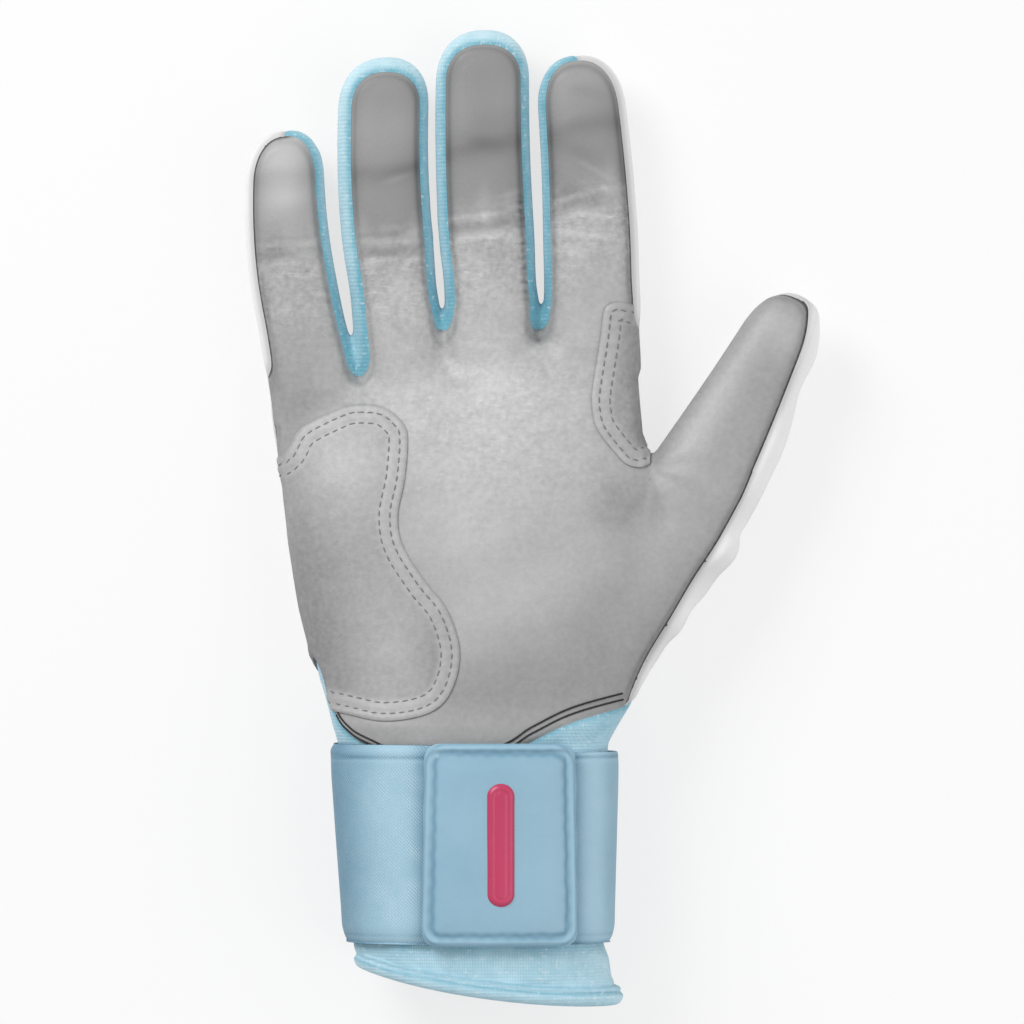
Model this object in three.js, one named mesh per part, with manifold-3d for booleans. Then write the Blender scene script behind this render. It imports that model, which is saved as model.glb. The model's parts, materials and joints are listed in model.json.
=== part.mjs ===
// Batting glove for the right hand, lying on its back with the palm up, as it sits when worn.
// Millimetres: +Z out of the palm, +Y towards the fingertips, +X towards the thumb.
// The hand and each digit are an outer form less an inner form, cut along the seams into panels.
// Each digit is cut again at its two creases, where the glove bends.

import * as THREE from "three";
import { mergeVertices } from "three/addons/utils/BufferGeometryUtils.js";
import Module from "manifold-3d";

const wasm = await Module();
wasm.setup();

// Walls and clearances
const WALL = 1.0;
const SEAM_GAP = 0.3;
const CUT_OVERRUN = 60;

// Hand block, from the hem line at y = 0 up to the crotches, and the cuff below the hem line
const PALM_LENGTH = 104;
const PALM_WIDTH = 100;
const PALM_DEPTH = 31;
const CUFF_LENGTH = 64;
const WRIST_WIDTH = 72.7;
const WRIST_DEPTH = 39.8;
const MOUTH_SLANT = 5;
const BACK_HEM_RISE = 12;

// Wrist strap and its closure, as layers on the cuff
const STRAP_HEIGHT = 53.5;
const STRAP_DROP = 0.8;
const ELASTIC_THICKNESS = 1.8;
const REST_FLAT = 0.8;
const WRIST_LIFT = SEAM_GAP + ELASTIC_THICKNESS - REST_FLAT;
const LOOP_THICKNESS = 0.8;
const HOOK_THICKNESS = 0.7;
const TAB_THICKNESS = 1.9;
const TAB_LEFT = -13.2;
const TAB_RIGHT = 27.6;
const TAB_CORNER = 4;
const TAB_OVERHANG = 0.4;
const ELASTIC_UNDER_TAB = 8;
const ANCHOR_UNDER_TAB = 7;
const HOOK_MARGIN = 3.5;
const GROOVE_INSET = 1.8;
const GROOVE_WIDTH = 1.3;
const GROOVE_DEPTH = 0.5;
const ACCENT_WIDTH = 7;
const ACCENT_LENGTH = 33;
const ACCENT_THICKNESS = 0.9;

// Rolled binding round the mouth of the cuff
const BINDING_HEIGHT = 5.4;
const BINDING_THICKNESS = 1.1;
const BINDING_GRIP = 3;

// Sewn-on palm patches and the stretch insert behind the knuckles
const PATCH_THICKNESS = 1.0;
const INSERT_WIDTH = 72;
const INSERT_HEIGHT = 15;
const INSERT_RISE = 80;
const CROTCH_DROP = 8.3;
const STUB_LENGTH = 26;
const STUB_LEAN_SHARE = 0.1;

// Digits. "across" and "up" place the crease at the root; seams are insets from the outline, and
// a seam below zero runs off the outline, so that the front panel wraps to mid-depth there.
const digits = {
  pinky: {
    across: -45.3, up: 106.5, length: 58.8, tilt: -5.5, bow: -2.2,
    rootWidth: 24.6, endWidth: 20.4, rootDepth: 17.5, endDepth: 14.5, noseReach: 14,
    rootMiddle: 10.4, endMiddle: 11.4, crease: 26, cutTilt: 0,
    seamLeft: 1.1, seamRight: 1.9, seamTip: 1.3, backSeam: 2.4, gussets: [1],
  },
  ring: {
    across: -21, up: 116.6, length: 68.1, tilt: -2.4, bow: -1.9,
    rootWidth: 24.6, endWidth: 24.4, rootDepth: 18.4, endDepth: 15.2, noseReach: 14,
    rootMiddle: 10.6, endMiddle: 11.8, crease: 18.5, cutTilt: 0,
    seamLeft: 3.5, seamRight: 1.9, seamTip: 4, backSeam: 2.6, gussets: [-1, 1],
  },
  middle: {
    across: 5, up: 118.3, length: 73.8, tilt: -1.8, bow: -1.1,
    rootWidth: 26.1, endWidth: 24.9, rootDepth: 18.8, endDepth: 15.6, noseReach: 14,
    rootMiddle: 10.7, endMiddle: 12, crease: 19.5, cutTilt: 0,
    seamLeft: 2.4, seamRight: 1.9, seamTip: 4, backSeam: 2.6, gussets: [-1, 1],
  },
  index: {
    across: 32.3, up: 118.3, length: 67.2, tilt: -3.6, bow: 0.9,
    rootWidth: 26.8, endWidth: 23, rootDepth: 18.6, endDepth: 15.4, noseReach: 15,
    rootMiddle: 10.7, endMiddle: 12, crease: 20.5, cutTilt: 0,
    seamLeft: 1.6, seamRight: 1.2, seamTip: 1.2, backSeam: 2.4, gussets: [-1],
  },
  thumb: {
    across: 63.1, up: 70.2, length: 56.2, tilt: 27.8, bow: 0.5,
    rootWidth: 31.4, endWidth: 19.6, rootDepth: 21, endDepth: 15.6, noseReach: 15,
    rootMiddle: 15.4, endMiddle: 16.4, crease: 25, cutTilt: 27.8,
    seamLeft: -2, seamRight: 5.2, seamTip: 1.1, backSeam: -2, gussets: [],
  },
};
const fingerOrder = ["pinky", "ring", "middle", "index"];

// Facets
const DIGIT_RING = 18;
const HAND_RING = 30;
const SHAFT_ROWS = 4;
const NOSE_ROWS = 4;
const CURVE_STEPS = 26;
const NOSE_POWER = 2.3;
const DIGIT_SQUARENESS = 2.5;
const HAND_SQUARENESS = 2.7;
const WRIST_SQUARENESS = 2.3;

// Stations of the hand block: height as a share of PALM_LENGTH, the two sides and the slant as
// shares of PALM_WIDTH, back and front as shares of PALM_DEPTH.
const palmShares = [
  [0.040, -0.379, 0.392, 0.052, 1.306, 0],
  [0.096, -0.394, 0.428, 0.039, 1.226, 0],
  [0.177, -0.419, 0.478, 0.029, 1.145, 0],
  [0.260, -0.440, 0.532, 0.016, 1.081, 0],
  [0.342, -0.462, 0.602, 0.006, 1.042, 0],
  [0.426, -0.477, 0.676, 0.000, 1.019, 0],
  [0.509, -0.491, 0.726, -0.006, 1.000, 0],
  [0.587, -0.500, 0.660, -0.010, 0.968, 0],
  [0.673, -0.510, 0.520, -0.010, 0.923, 0.01],
  [0.740, -0.522, 0.456, -0.010, 0.871, 0.04],
  [0.846, -0.536, 0.448, -0.006, 0.774, 0.08],
  [0.920, -0.548, 0.449, 0.013, 0.694, 0.1],
  [0.980, -0.552, 0.450, 0.081, 0.565, 0.1],
];
// Stations of the cuff: depth below the hem line as a share of CUFF_LENGTH, the two sides as
// shares of half the wrist's width, the narrowing of its depth, and the mouth's slant.
const cuffShares = [
  [1, -0.860, 1.035, 0.96, 1],
  [0.860, -0.920, 1.000, 0.98, 0.4],
  [0.800, -1, 1, 1, 0],
  [0.016, -1, 1, 1, 0],
];
// The lower edge of the palm leather: shares of PALM_WIDTH across and of PALM_LENGTH up
const hemShares = [
  [-0.62, 0.31], [-0.43, 0.228], [-0.367, 0.052], [-0.30, 0.003], [-0.238, -0.008],
  [-0.05, -0.028], [0.086, -0.005], [0.181, 0.047], [0.289, 0.086], [0.41, 0.125], [0.62, 0.19],
];
// The seam between palm leather and back along the thumb side, in the same shares
const thumbSeamShares = [
  [0.405, 0.06], [0.421, 0.104], [0.467, 0.208], [0.532, 0.312], [0.594, 0.415],
  [0.667, 0.519], [0.729, 0.623], [0.765, 0.700],
];
// Outline of the heel patch and of the index-side patch, in the same shares. Both run off the
// side of the hand, where the leather wraps.
const heelPatchShares = [
  [-0.62, 0.735], [-0.515, 0.737], [-0.467, 0.805], [-0.373, 0.854], [-0.316, 0.870],
  [-0.238, 0.862], [-0.186, 0.818], [-0.176, 0.771], [-0.184, 0.675], [-0.202, 0.584],
  [-0.189, 0.506], [-0.130, 0.415], [-0.068, 0.338], [-0.035, 0.231], [-0.057, 0.130],
  [-0.116, 0.073], [-0.238, 0.052], [-0.365, 0.075], [-0.62, 0.12],
];
const indexPatchShares = [
  [0.62, 1.130], [0.446, 1.130], [0.354, 1.138], [0.343, 1.038], [0.321, 0.903],
  [0.329, 0.810], [0.416, 0.704], [0.62, 0.72],
];

// A solid from any closed three.js geometry
function solidFrom(geometry) {
  const flat = geometry.index ? geometry.toNonIndexed() : geometry;
  const bare = new THREE.BufferGeometry();
  bare.setAttribute("position", flat.getAttribute("position"));
  const merged = mergeVertices(bare);
  const triVerts = new Uint32Array(merged.index.array);
  const build = () => new wasm.Manifold(
    new wasm.Mesh({ numProp: 3, vertProperties: merged.attributes.position.array, triVerts }),
  );
  const solid = build();
  if (solid.volume() >= 0) return solid;
  triVerts.reverse();
  return build();
}

// A closed skin over rings of equal length, with a fan at each end
function loft(rings) {
  const count = rings[0].length;
  const points = rings.flat();
  const first = points.push(centreOf(rings[0])) - 1;
  const last = points.push(centreOf(rings.at(-1))) - 1;
  const faces = [];
  rings.slice(1).forEach((_, row) => {
    for (let i = 0; i < count; i += 1) {
      const a = row * count + i;
      const b = row * count + ((i + 1) % count);
      faces.push(a, b, b + count, a, b + count, a + count);
    }
  });
  const top = (rings.length - 1) * count;
  for (let i = 0; i < count; i += 1) {
    const next = (i + 1) % count;
    faces.push(first, next, i, last, top + i, top + next);
  }
  const geometry = new THREE.BufferGeometry().setFromPoints(points);
  geometry.setIndex(faces);
  return solidFrom(geometry);
}

function centreOf(ring) {
  const sum = ring.reduce((total, point) => total.add(point), new THREE.Vector3());
  return sum.divideScalar(ring.length);
}

// One point of a squared oval, as shares of its half width and half depth
function ovalShare(turn, squareness) {
  const angle = turn * Math.PI * 2;
  const power = 2 / squareness;
  const across = Math.sign(Math.sin(angle)) * Math.abs(Math.sin(angle)) ** power;
  const up = -Math.sign(Math.cos(angle)) * Math.abs(Math.cos(angle)) ** power;
  return [across, up];
}

// Upright prism over an outline in the plane of the palm
function prism(outline, low = -CUT_OVERRUN, high = CUT_OVERRUN * 2) {
  const options = { depth: high - low, bevelEnabled: false };
  const geometry = new THREE.ExtrudeGeometry(new THREE.Shape(outline), options);
  return solidFrom(geometry.translate(0, 0, low));
}

// Block across the whole glove over an outline of (y, z) points
function crossBlock(profile) {
  const options = { depth: CUT_OVERRUN * 6, bevelEnabled: false };
  const geometry = new THREE.ExtrudeGeometry(new THREE.Shape(profile), options);
  const basis = new THREE.Matrix4().makeBasis(
    new THREE.Vector3(0, 1, 0), new THREE.Vector3(0, 0, 1), new THREE.Vector3(1, 0, 0),
  );
  return solidFrom(geometry.applyMatrix4(basis).translate(-CUT_OVERRUN * 3, 0, 0));
}

function boxBetween(low, high) {
  const size = high.clone().sub(low);
  const middle = high.clone().add(low).multiplyScalar(0.5);
  const geometry = new THREE.BoxGeometry(size.x, size.y, size.z);
  return solidFrom(geometry.translate(middle.x, middle.y, middle.z));
}

// The panel itself, without the loose crumbs that a cut along a seam leaves
function mainBody(solid) {
  return solid.decompose().sort((a, b) => b.volume() - a.volume())[0];
}

const unite = (solids) => solids.reduce((total, solid) => total.add(solid));

// Places in the plane of the palm, from shares of its width and length
const palmPoint = ([acrossShare, upShare]) =>
  new THREE.Vector2(acrossShare * PALM_WIDTH, upShare * PALM_LENGTH);
const smoothThrough = (points, steps = CURVE_STEPS) =>
  new THREE.SplineCurve(points).getPoints(steps);

// Hand block

// The levels of the hand block and cuff, lowest first, as real sizes
const wristMiddle = WRIST_LIFT + WRIST_DEPTH / 2;
const handStations = [
  ...cuffShares.map(([dropShare, leftShare, rightShare, depthShare, slantShare]) => ({
    y: -dropShare * CUFF_LENGTH,
    left: (leftShare * WRIST_WIDTH) / 2,
    right: (rightShare * WRIST_WIDTH) / 2,
    back: wristMiddle - (depthShare * WRIST_DEPTH) / 2,
    front: wristMiddle + (depthShare * WRIST_DEPTH) / 2,
    slant: -slantShare * MOUTH_SLANT,
    squareness: WRIST_SQUARENESS,
    floor: WRIST_LIFT + REST_FLAT,
  })),
  ...palmShares.map(([riseShare, leftShare, rightShare, backShare, frontShare, slantShare]) => ({
    y: riseShare * PALM_LENGTH,
    left: leftShare * PALM_WIDTH,
    right: rightShare * PALM_WIDTH,
    back: backShare * PALM_DEPTH,
    front: frontShare * PALM_DEPTH,
    slant: slantShare * PALM_WIDTH,
    squareness: HAND_SQUARENESS,
    floor: 0,
  })),
];

// A section of the hand, grown outwards by a distance and laid on the rest plane where it is low
function handRing(station, grow, shift = 0) {
  const halfWidth = (station.right - station.left) / 2 + grow;
  const halfDepth = (station.front - station.back) / 2 + grow;
  const middleX = (station.right + station.left) / 2;
  const middleZ = (station.front + station.back) / 2;
  return Array.from({ length: HAND_RING }, (_, i) => {
    const [across, up] = ovalShare((i + 0.5) / HAND_RING, station.squareness);
    return new THREE.Vector3(
      middleX + across * halfWidth,
      station.y + shift + station.slant * across,
      Math.max(middleZ + up * halfDepth, station.floor - grow),
    );
  });
}

// The hand block grown by a distance; "mouth" runs it out past the mouth of the cuff
function handBlock(grow, mouth = 0) {
  const rings = handStations.map((station) => handRing(station, grow));
  rings[rings.length - 1] = handRing(handStations.at(-1), grow, grow);
  if (mouth > 0) rings.unshift(handRing(handStations[0], grow, -mouth));
  return loft(rings);
}

// The hand block with the stubs of the digits
function handForm(grow, mouth = 0) {
  const stubs = Object.values(digits).map(
    (digit) => digitForm(digit, grow).intersect(rootSide(digit)),
  );
  return unite([handBlock(grow, mouth), ...stubs]);
}

// The level between the front and back panels of the hand, from the same stations
function midProfile() {
  return handStations.map(
    (station) => new THREE.Vector2(station.y, (station.front + station.back) / 2),
  );
}

// The half of the glove in front of its middle surface, or behind it
function halfBlock(side, gap) {
  const line = midProfile().map((point) => new THREE.Vector2(point.x, point.y + (side * gap) / 2));
  const low = new THREE.Vector2(line[0].x - CUT_OVERRUN, line[0].y);
  const high = new THREE.Vector2(line.at(-1).x + CUT_OVERRUN, line.at(-1).y);
  const far = side * CUT_OVERRUN * 2;
  return crossBlock([
    low, ...line, high,
    new THREE.Vector2(high.x, far),
    new THREE.Vector2(low.x, far),
  ]);
}

// Digits

const radians = (digit) => THREE.MathUtils.degToRad(digit.tilt);
const alongOf = (digit) => new THREE.Vector3(Math.sin(radians(digit)), Math.cos(radians(digit)), 0);
const acrossOf = (digit) => new THREE.Vector3(Math.cos(radians(digit)), -Math.sin(radians(digit)), 0);

// How full the digit is at a distance from its end: 1 on the shaft, 0 at the tip
function noseShare(toEnd, reach) {
  const inShare = Math.min(Math.max(1 - toEnd / reach, 0), 1);
  return (1 - inShare ** NOSE_POWER) ** (1 / NOSE_POWER);
}

const shaftShare = (digit, s) => Math.min(Math.max(s / digit.length, 0), 1);
const sideways = (digit, s) => digit.bow * Math.sin(Math.PI * shaftShare(digit, s))
  - Math.min(s, 0) * STUB_LEAN_SHARE * Math.sign(-digit.across);
const halfWidthAt = (digit, s) =>
  THREE.MathUtils.lerp(digit.rootWidth, digit.endWidth, shaftShare(digit, s)) / 2;
const halfDepthAt = (digit, s) =>
  THREE.MathUtils.lerp(digit.rootDepth, digit.endDepth, shaftShare(digit, s)) / 2;
const middleAt = (digit, s) =>
  THREE.MathUtils.lerp(digit.rootMiddle, digit.endMiddle, shaftShare(digit, s));

// A place on a digit: distance along it, distance across it and height
function digitPoint(digit, s, across, z) {
  return new THREE.Vector3(digit.across, digit.up, z)
    .addScaledVector(alongOf(digit), s)
    .addScaledVector(acrossOf(digit), across + sideways(digit, s));
}

// Stations along a digit: even on the shaft, closing up round the nose
function digitStations(digit, grow, inset = 0) {
  const end = digit.length + grow - inset;
  const reach = digit.noseReach + grow - inset;
  const shaft = Array.from({ length: SHAFT_ROWS }, (_, i) =>
    THREE.MathUtils.lerp(-STUB_LENGTH, end - reach, i / SHAFT_ROWS));
  const nose = Array.from({ length: NOSE_ROWS + 1 }, (_, i) =>
    end - reach * (1 - Math.sin(((i / NOSE_ROWS) * Math.PI) / 2)));
  return { end, reach, rows: [...shaft, ...nose] };
}

function digitForm(digit, grow) {
  const { end, reach, rows } = digitStations(digit, grow);
  const rings = rows.slice(0, -1).map((s) => {
    const fullness = noseShare(end - s, reach);
    const halfWidth = (halfWidthAt(digit, s) + grow) * fullness;
    const halfDepth = (halfDepthAt(digit, s) + grow) * noseShare(end - s, reach * 0.8);
    return Array.from({ length: DIGIT_RING }, (_, i) => {
      const [across, up] = ovalShare((i + 0.5) / DIGIT_RING, DIGIT_SQUARENESS);
      return digitPoint(digit, s, across * halfWidth, middleAt(digit, s) + up * halfDepth);
    });
  });
  const tip = digitPoint(digit, end, 0, middleAt(digit, digit.length));
  return loft([...rings, rings[0].map(() => tip.clone())]);
}

// Outline of a digit's panel, inset from the side of the digit; gap widens every inset
function digitOutline(digit, seams, gap) {
  const { end, reach, rows } = digitStations(digit, 0, seams.tip + gap / 2);
  const edge = (side, seam) => rows.map((s) => {
    const half = halfWidthAt(digit, s) - seam - gap / 2;
    const point = digitPoint(digit, s, side * half * noseShare(end - s, reach), 0);
    return new THREE.Vector2(point.x, point.y);
  });
  return [...edge(-1, seams.left), ...edge(1, seams.right).slice(0, -1).reverse()];
}

const frontSeams = (digit) =>
  ({ left: digit.seamLeft, right: digit.seamRight, tip: digit.seamTip });
const backSeams = (digit) => ({
  left: digit.gussets.includes(-1) ? digit.backSeam : -digit.rootWidth,
  right: digit.gussets.includes(1) ? digit.backSeam : -digit.rootWidth,
  tip: digit.gussets.length > 1 ? digit.backSeam : -digit.noseReach,
});

// The stretch of a digit between two distances along it, cut square to its bend axis
function stretchOf(digit, from, to) {
  const low = new THREE.Vector3(-CUT_OVERRUN, from, -CUT_OVERRUN);
  const high = new THREE.Vector3(CUT_OVERRUN, to, CUT_OVERRUN * 2);
  return boxBetween(low, high)
    .rotate([0, 0, -digit.cutTilt])
    .translate([digit.across, digit.up, 0]);
}
const rootSide = (digit) => stretchOf(digit, -CUT_OVERRUN, -SEAM_GAP / 2);
const baseStretch = (digit) => stretchOf(digit, SEAM_GAP / 2, digit.crease - SEAM_GAP / 2);
const tipStretch = (digit) => stretchOf(digit, digit.crease + SEAM_GAP / 2, CUT_OVERRUN * 2);

// One side of a digit, left or right of its centre line, kept clear of the other by half a gap
function sideOf(digit, side, gap) {
  const low = new THREE.Vector3(side > 0 ? gap / 2 : -CUT_OVERRUN, -CUT_OVERRUN, -CUT_OVERRUN);
  const high = new THREE.Vector3(side > 0 ? CUT_OVERRUN : -gap / 2, CUT_OVERRUN * 2, CUT_OVERRUN * 2);
  return boxBetween(low, high)
    .rotate([0, 0, -digit.tilt])
    .translate([digit.across, digit.up, 0]);
}

// The half of a digit in front of its centre line, or behind it
function digitHalf(digit, side, gap) {
  const far = CUT_OVERRUN * 2;
  const shift = (side * gap) / 2;
  const profile = [
    new THREE.Vector2(-far, digit.rootMiddle + shift),
    new THREE.Vector2(digit.up, digit.rootMiddle + shift),
    new THREE.Vector2(digit.up + digit.length, digit.endMiddle + shift),
    new THREE.Vector2(digit.up + digit.length + far, digit.endMiddle + shift),
    new THREE.Vector2(digit.up + digit.length + far, side * far),
    new THREE.Vector2(-far, side * far),
  ];
  return crossBlock(profile);
}

// Panels of one digit: front, gussets between front and back, and back
function digitPanels(digit) {
  const shell = digitForm(digit, 0).subtract(digitForm(digit, -WALL));
  const front = (gap) => prism(digitOutline(digit, frontSeams(digit), gap))
    .intersect(digitHalf(digit, 1, gap));
  const back = (gap) => prism(digitOutline(digit, backSeams(digit), gap))
    .intersect(digitHalf(digit, -1, gap));
  const rest = shell.subtract(front(-SEAM_GAP));
  const panels = { front: shell.intersect(front(SEAM_GAP)) };
  if (digit.gussets.length === 2) {
    panels.back = shell.intersect(back(SEAM_GAP));
    panels.gusset = rest.subtract(back(-SEAM_GAP));
  } else if (digit.gussets.length === 1) {
    const [side] = digit.gussets;
    const strip = (gap) => sideOf(digit, side, gap).subtract(back(-gap));
    panels.gusset = rest.intersect(strip(SEAM_GAP));
    panels.back = rest.subtract(strip(-SEAM_GAP));
  } else {
    panels.back = rest;
  }
  return panels;
}

// Hand panels

function hemLine(gap) {
  const points = smoothThrough(hemShares.map(palmPoint));
  return points.map((point) => new THREE.Vector2(point.x, point.y + gap / 2));
}

// Everything above the hem line of the palm leather
function aboveHem(gap) {
  const line = hemLine(gap);
  return prism([
    ...line,
    new THREE.Vector2(line.at(-1).x + CUT_OVERRUN, line.at(-1).y),
    new THREE.Vector2(line.at(-1).x + CUT_OVERRUN, PALM_LENGTH * 3),
    new THREE.Vector2(line[0].x - CUT_OVERRUN, PALM_LENGTH * 3),
    new THREE.Vector2(line[0].x - CUT_OVERRUN, line[0].y),
  ]);
}

// The places between the fingers, where the leather is notched
function crotches() {
  return fingerOrder.slice(1).map((name, i) => {
    const left = digits[fingerOrder[i]];
    const right = digits[name];
    const floor = Math.min(left.up, right.up) - CROTCH_DROP;
    const leftEdge = digitPoint(left, floor - left.up, halfWidthAt(left, 0), 0).x;
    const rightEdge = digitPoint(right, floor - right.up, -halfWidthAt(right, 0), 0).x;
    return new THREE.Vector2((leftEdge + rightEdge) / 2, floor);
  });
}

// The part of the palm below the crotches, whose sides run off the hand on the pinky side
function palmOutline(gap) {
  const seam = smoothThrough(thumbSeamShares.map(palmPoint));
  const notches = crotches().reverse().map((p) => new THREE.Vector2(p.x, p.y - gap / 2));
  const index = digits.index;
  const pinky = digits.pinky;
  const thumbRoot = digitPoint(digits.thumb, 0, -halfWidthAt(digits.thumb, 0), 0);
  const indexSide = index.across + index.rootWidth;
  const pinkySide = pinky.across - pinky.rootWidth;
  return [
    ...seam.map((p) => new THREE.Vector2(p.x - gap / 2, p.y)),
    new THREE.Vector2(thumbRoot.x + CROTCH_DROP, thumbRoot.y),
    new THREE.Vector2(indexSide, thumbRoot.y + CROTCH_DROP),
    new THREE.Vector2(indexSide, notches[0].y),
    ...notches,
    new THREE.Vector2(pinkySide, notches.at(-1).y),
    new THREE.Vector2(pinkySide, -CUT_OVERRUN),
    new THREE.Vector2(seam[0].x, -CUT_OVERRUN),
  ];
}

// Where the palm leather lies: in front of the middle, inside its seams and above its hem
function frontRegion(gap) {
  const pieces = Object.values(digits).map((digit) =>
    prism(digitOutline(digit, frontSeams(digit), gap)).intersect(stretchOf(digit, -STUB_LENGTH, 0)));
  return unite([prism(palmOutline(gap)), ...pieces])
    .intersect(halfBlock(1, gap))
    .intersect(aboveHem(gap));
}

// Where the back of the hand lies behind the gussets: the fingers' stubs and all below them
function backRegion(gap) {
  const pieces = fingerOrder.map((name) => {
    const digit = digits[name];
    return prism(digitOutline(digit, backSeams(digit), gap))
      .intersect(stretchOf(digit, -STUB_LENGTH, 0));
  });
  const notches = crotches().map((p) => new THREE.Vector2(p.x, p.y - gap / 2));
  const below = [
    new THREE.Vector2(notches[0].x - PALM_WIDTH, notches[0].y),
    ...notches,
    new THREE.Vector2(notches.at(-1).x + PALM_WIDTH, notches.at(-1).y),
    new THREE.Vector2(notches.at(-1).x + PALM_WIDTH, -PALM_LENGTH),
    new THREE.Vector2(notches[0].x - PALM_WIDTH, -PALM_LENGTH),
  ];
  return unite([prism(below), ...pieces]).intersect(halfBlock(-1, gap));
}

// The space round one crotch, from one finger's centre line to the next one's
function crotchBlock(i) {
  const left = digits[fingerOrder[i]];
  const right = digits[fingerOrder[i + 1]];
  const floor = crotches()[i].y - CROTCH_DROP;
  const top = Math.max(left.up, right.up);
  return prism([
    new THREE.Vector2(left.across, floor),
    new THREE.Vector2(right.across, floor),
    new THREE.Vector2(right.across, top),
    new THREE.Vector2(left.across, top),
  ]);
}

// The cuff: below the hem at the front, and below a straight hem at the back
function cuffRegion(gap) {
  const low = new THREE.Vector3(-CUT_OVERRUN * 2, -CUFF_LENGTH * 2, -CUT_OVERRUN);
  const high = new THREE.Vector3(CUT_OVERRUN * 2, BACK_HEM_RISE - gap / 2, CUT_OVERRUN * 2);
  const behind = boxBetween(low, high).subtract(halfBlock(1, 0));
  const frontHigh = new THREE.Vector3(CUT_OVERRUN * 2, PALM_LENGTH / 2, CUT_OVERRUN * 2);
  const before = boxBetween(low, frontHigh).subtract(aboveHem(-gap)).subtract(halfBlock(-1, 0));
  return unite([behind, before]);
}

// The stretch insert across the back of the knuckles
function insertRegion(gap) {
  const outline = roundedRectangle(
    digits.ring.across + digits.middle.across,
    INSERT_RISE,
    INSERT_WIDTH - gap,
    INSERT_HEIGHT - gap,
    (INSERT_HEIGHT - gap) / 2,
  );
  return prism(outline, -CUT_OVERRUN, PALM_DEPTH / 4);
}

function roundedRectangle(middleX, middleY, width, height, corner) {
  const shape = new THREE.Shape();
  const left = middleX - width / 2;
  const right = middleX + width / 2;
  const low = middleY - height / 2;
  const high = middleY + height / 2;
  shape.moveTo(left + corner, low);
  shape.lineTo(right - corner, low);
  shape.absarc(right - corner, low + corner, corner, -Math.PI / 2, 0);
  shape.lineTo(right, high - corner);
  shape.absarc(right - corner, high - corner, corner, 0, Math.PI / 2);
  shape.lineTo(left + corner, high);
  shape.absarc(left + corner, high - corner, corner, Math.PI / 2, Math.PI);
  shape.lineTo(left, low + corner);
  shape.absarc(left + corner, low + corner, corner, Math.PI, Math.PI * 1.5);
  return shape.getPoints(4);
}

// Wrist strap layers

// A point on the wrist's oval, grown by a distance; turn runs from the back over the thumb side
function wristPoint(turn, grow) {
  const [across, up] = ovalShare(turn, WRIST_SQUARENESS);
  const z = wristMiddle + up * (WRIST_DEPTH / 2 + grow);
  const floor = WRIST_LIFT - grow + REST_FLAT;
  return new THREE.Vector2(across * (WRIST_WIDTH / 2 + grow), Math.max(z, floor));
}

// The turn at which the front of the oval crosses a place
function turnAt(x, grow) {
  const share = Math.min(Math.abs(x) / (WRIST_WIDTH / 2 + grow), 1);
  const angle = Math.asin(share ** (WRIST_SQUARENESS / 2)) / (Math.PI * 2);
  return 0.5 - Math.sign(x) * angle;
}

// A band round the wrist between two turns and two distances from the cuff
function band(fromTurn, toTurn, inner, outer, high, low) {
  const facets = Array.from({ length: HAND_RING * 2 }, (_, i) => (i + 0.5) / HAND_RING - 1);
  const turns = [fromTurn, ...facets.filter((turn) => turn > fromTurn && turn < toTurn), toTurn];
  const outline = [
    ...turns.map((turn) => wristPoint(turn, outer)),
    ...turns.map((turn) => wristPoint(turn, inner)).reverse(),
  ];
  const options = { depth: high - low, bevelEnabled: false };
  const geometry = new THREE.ExtrudeGeometry(new THREE.Shape(outline), options);
  const basis = new THREE.Matrix4().makeBasis(
    new THREE.Vector3(1, 0, 0), new THREE.Vector3(0, 0, 1), new THREE.Vector3(0, -1, 0),
  );
  return solidFrom(geometry.applyMatrix4(basis).translate(0, high, 0));
}

const strapTop = -STRAP_DROP;
const strapLow = -STRAP_DROP - STRAP_HEIGHT;
const elasticOuter = SEAM_GAP + ELASTIC_THICKNESS;
const loopOuter = SEAM_GAP + LOOP_THICKNESS;
const hookOuter = loopOuter + SEAM_GAP + HOOK_THICKNESS;
const tabInner = Math.max(elasticOuter, hookOuter) + SEAM_GAP;
const tabOuter = tabInner + TAB_THICKNESS;
const anchorEnd = TAB_RIGHT - ANCHOR_UNDER_TAB;
const elasticEnd = TAB_LEFT + ELASTIC_UNDER_TAB;
const PINKY_SIDE_TURN = 0.75;

// The anchored band: from the pinky side round the back and the thumb side to under the tab
function anchorBand() {
  const from = turnAt(anchorEnd, SEAM_GAP);
  return band(PINKY_SIDE_TURN - 1, from, SEAM_GAP, elasticOuter, strapTop, strapLow);
}

// The free elastic: from the pinky side across the front to under the tab
function freeElastic() {
  const halfGap = SEAM_GAP / (WRIST_DEPTH * Math.PI);
  const from = turnAt(elasticEnd, SEAM_GAP);
  return band(from, PINKY_SIDE_TURN - halfGap, SEAM_GAP, elasticOuter, strapTop, strapLow);
}

function loopPatch() {
  const from = turnAt(anchorEnd - SEAM_GAP, SEAM_GAP);
  const to = turnAt(elasticEnd + SEAM_GAP, SEAM_GAP);
  return band(from, to, SEAM_GAP, loopOuter, strapTop - HOOK_MARGIN / 2, strapLow + HOOK_MARGIN / 2);
}

function hookPatch() {
  const from = turnAt(anchorEnd - HOOK_MARGIN, loopOuter);
  const to = turnAt(elasticEnd + HOOK_MARGIN, loopOuter);
  return band(from, to, loopOuter + SEAM_GAP, hookOuter, strapTop - HOOK_MARGIN, strapLow + HOOK_MARGIN);
}

const tabMiddle = (TAB_LEFT + TAB_RIGHT) / 2;
const strapMiddle = (strapTop + strapLow) / 2;

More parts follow.
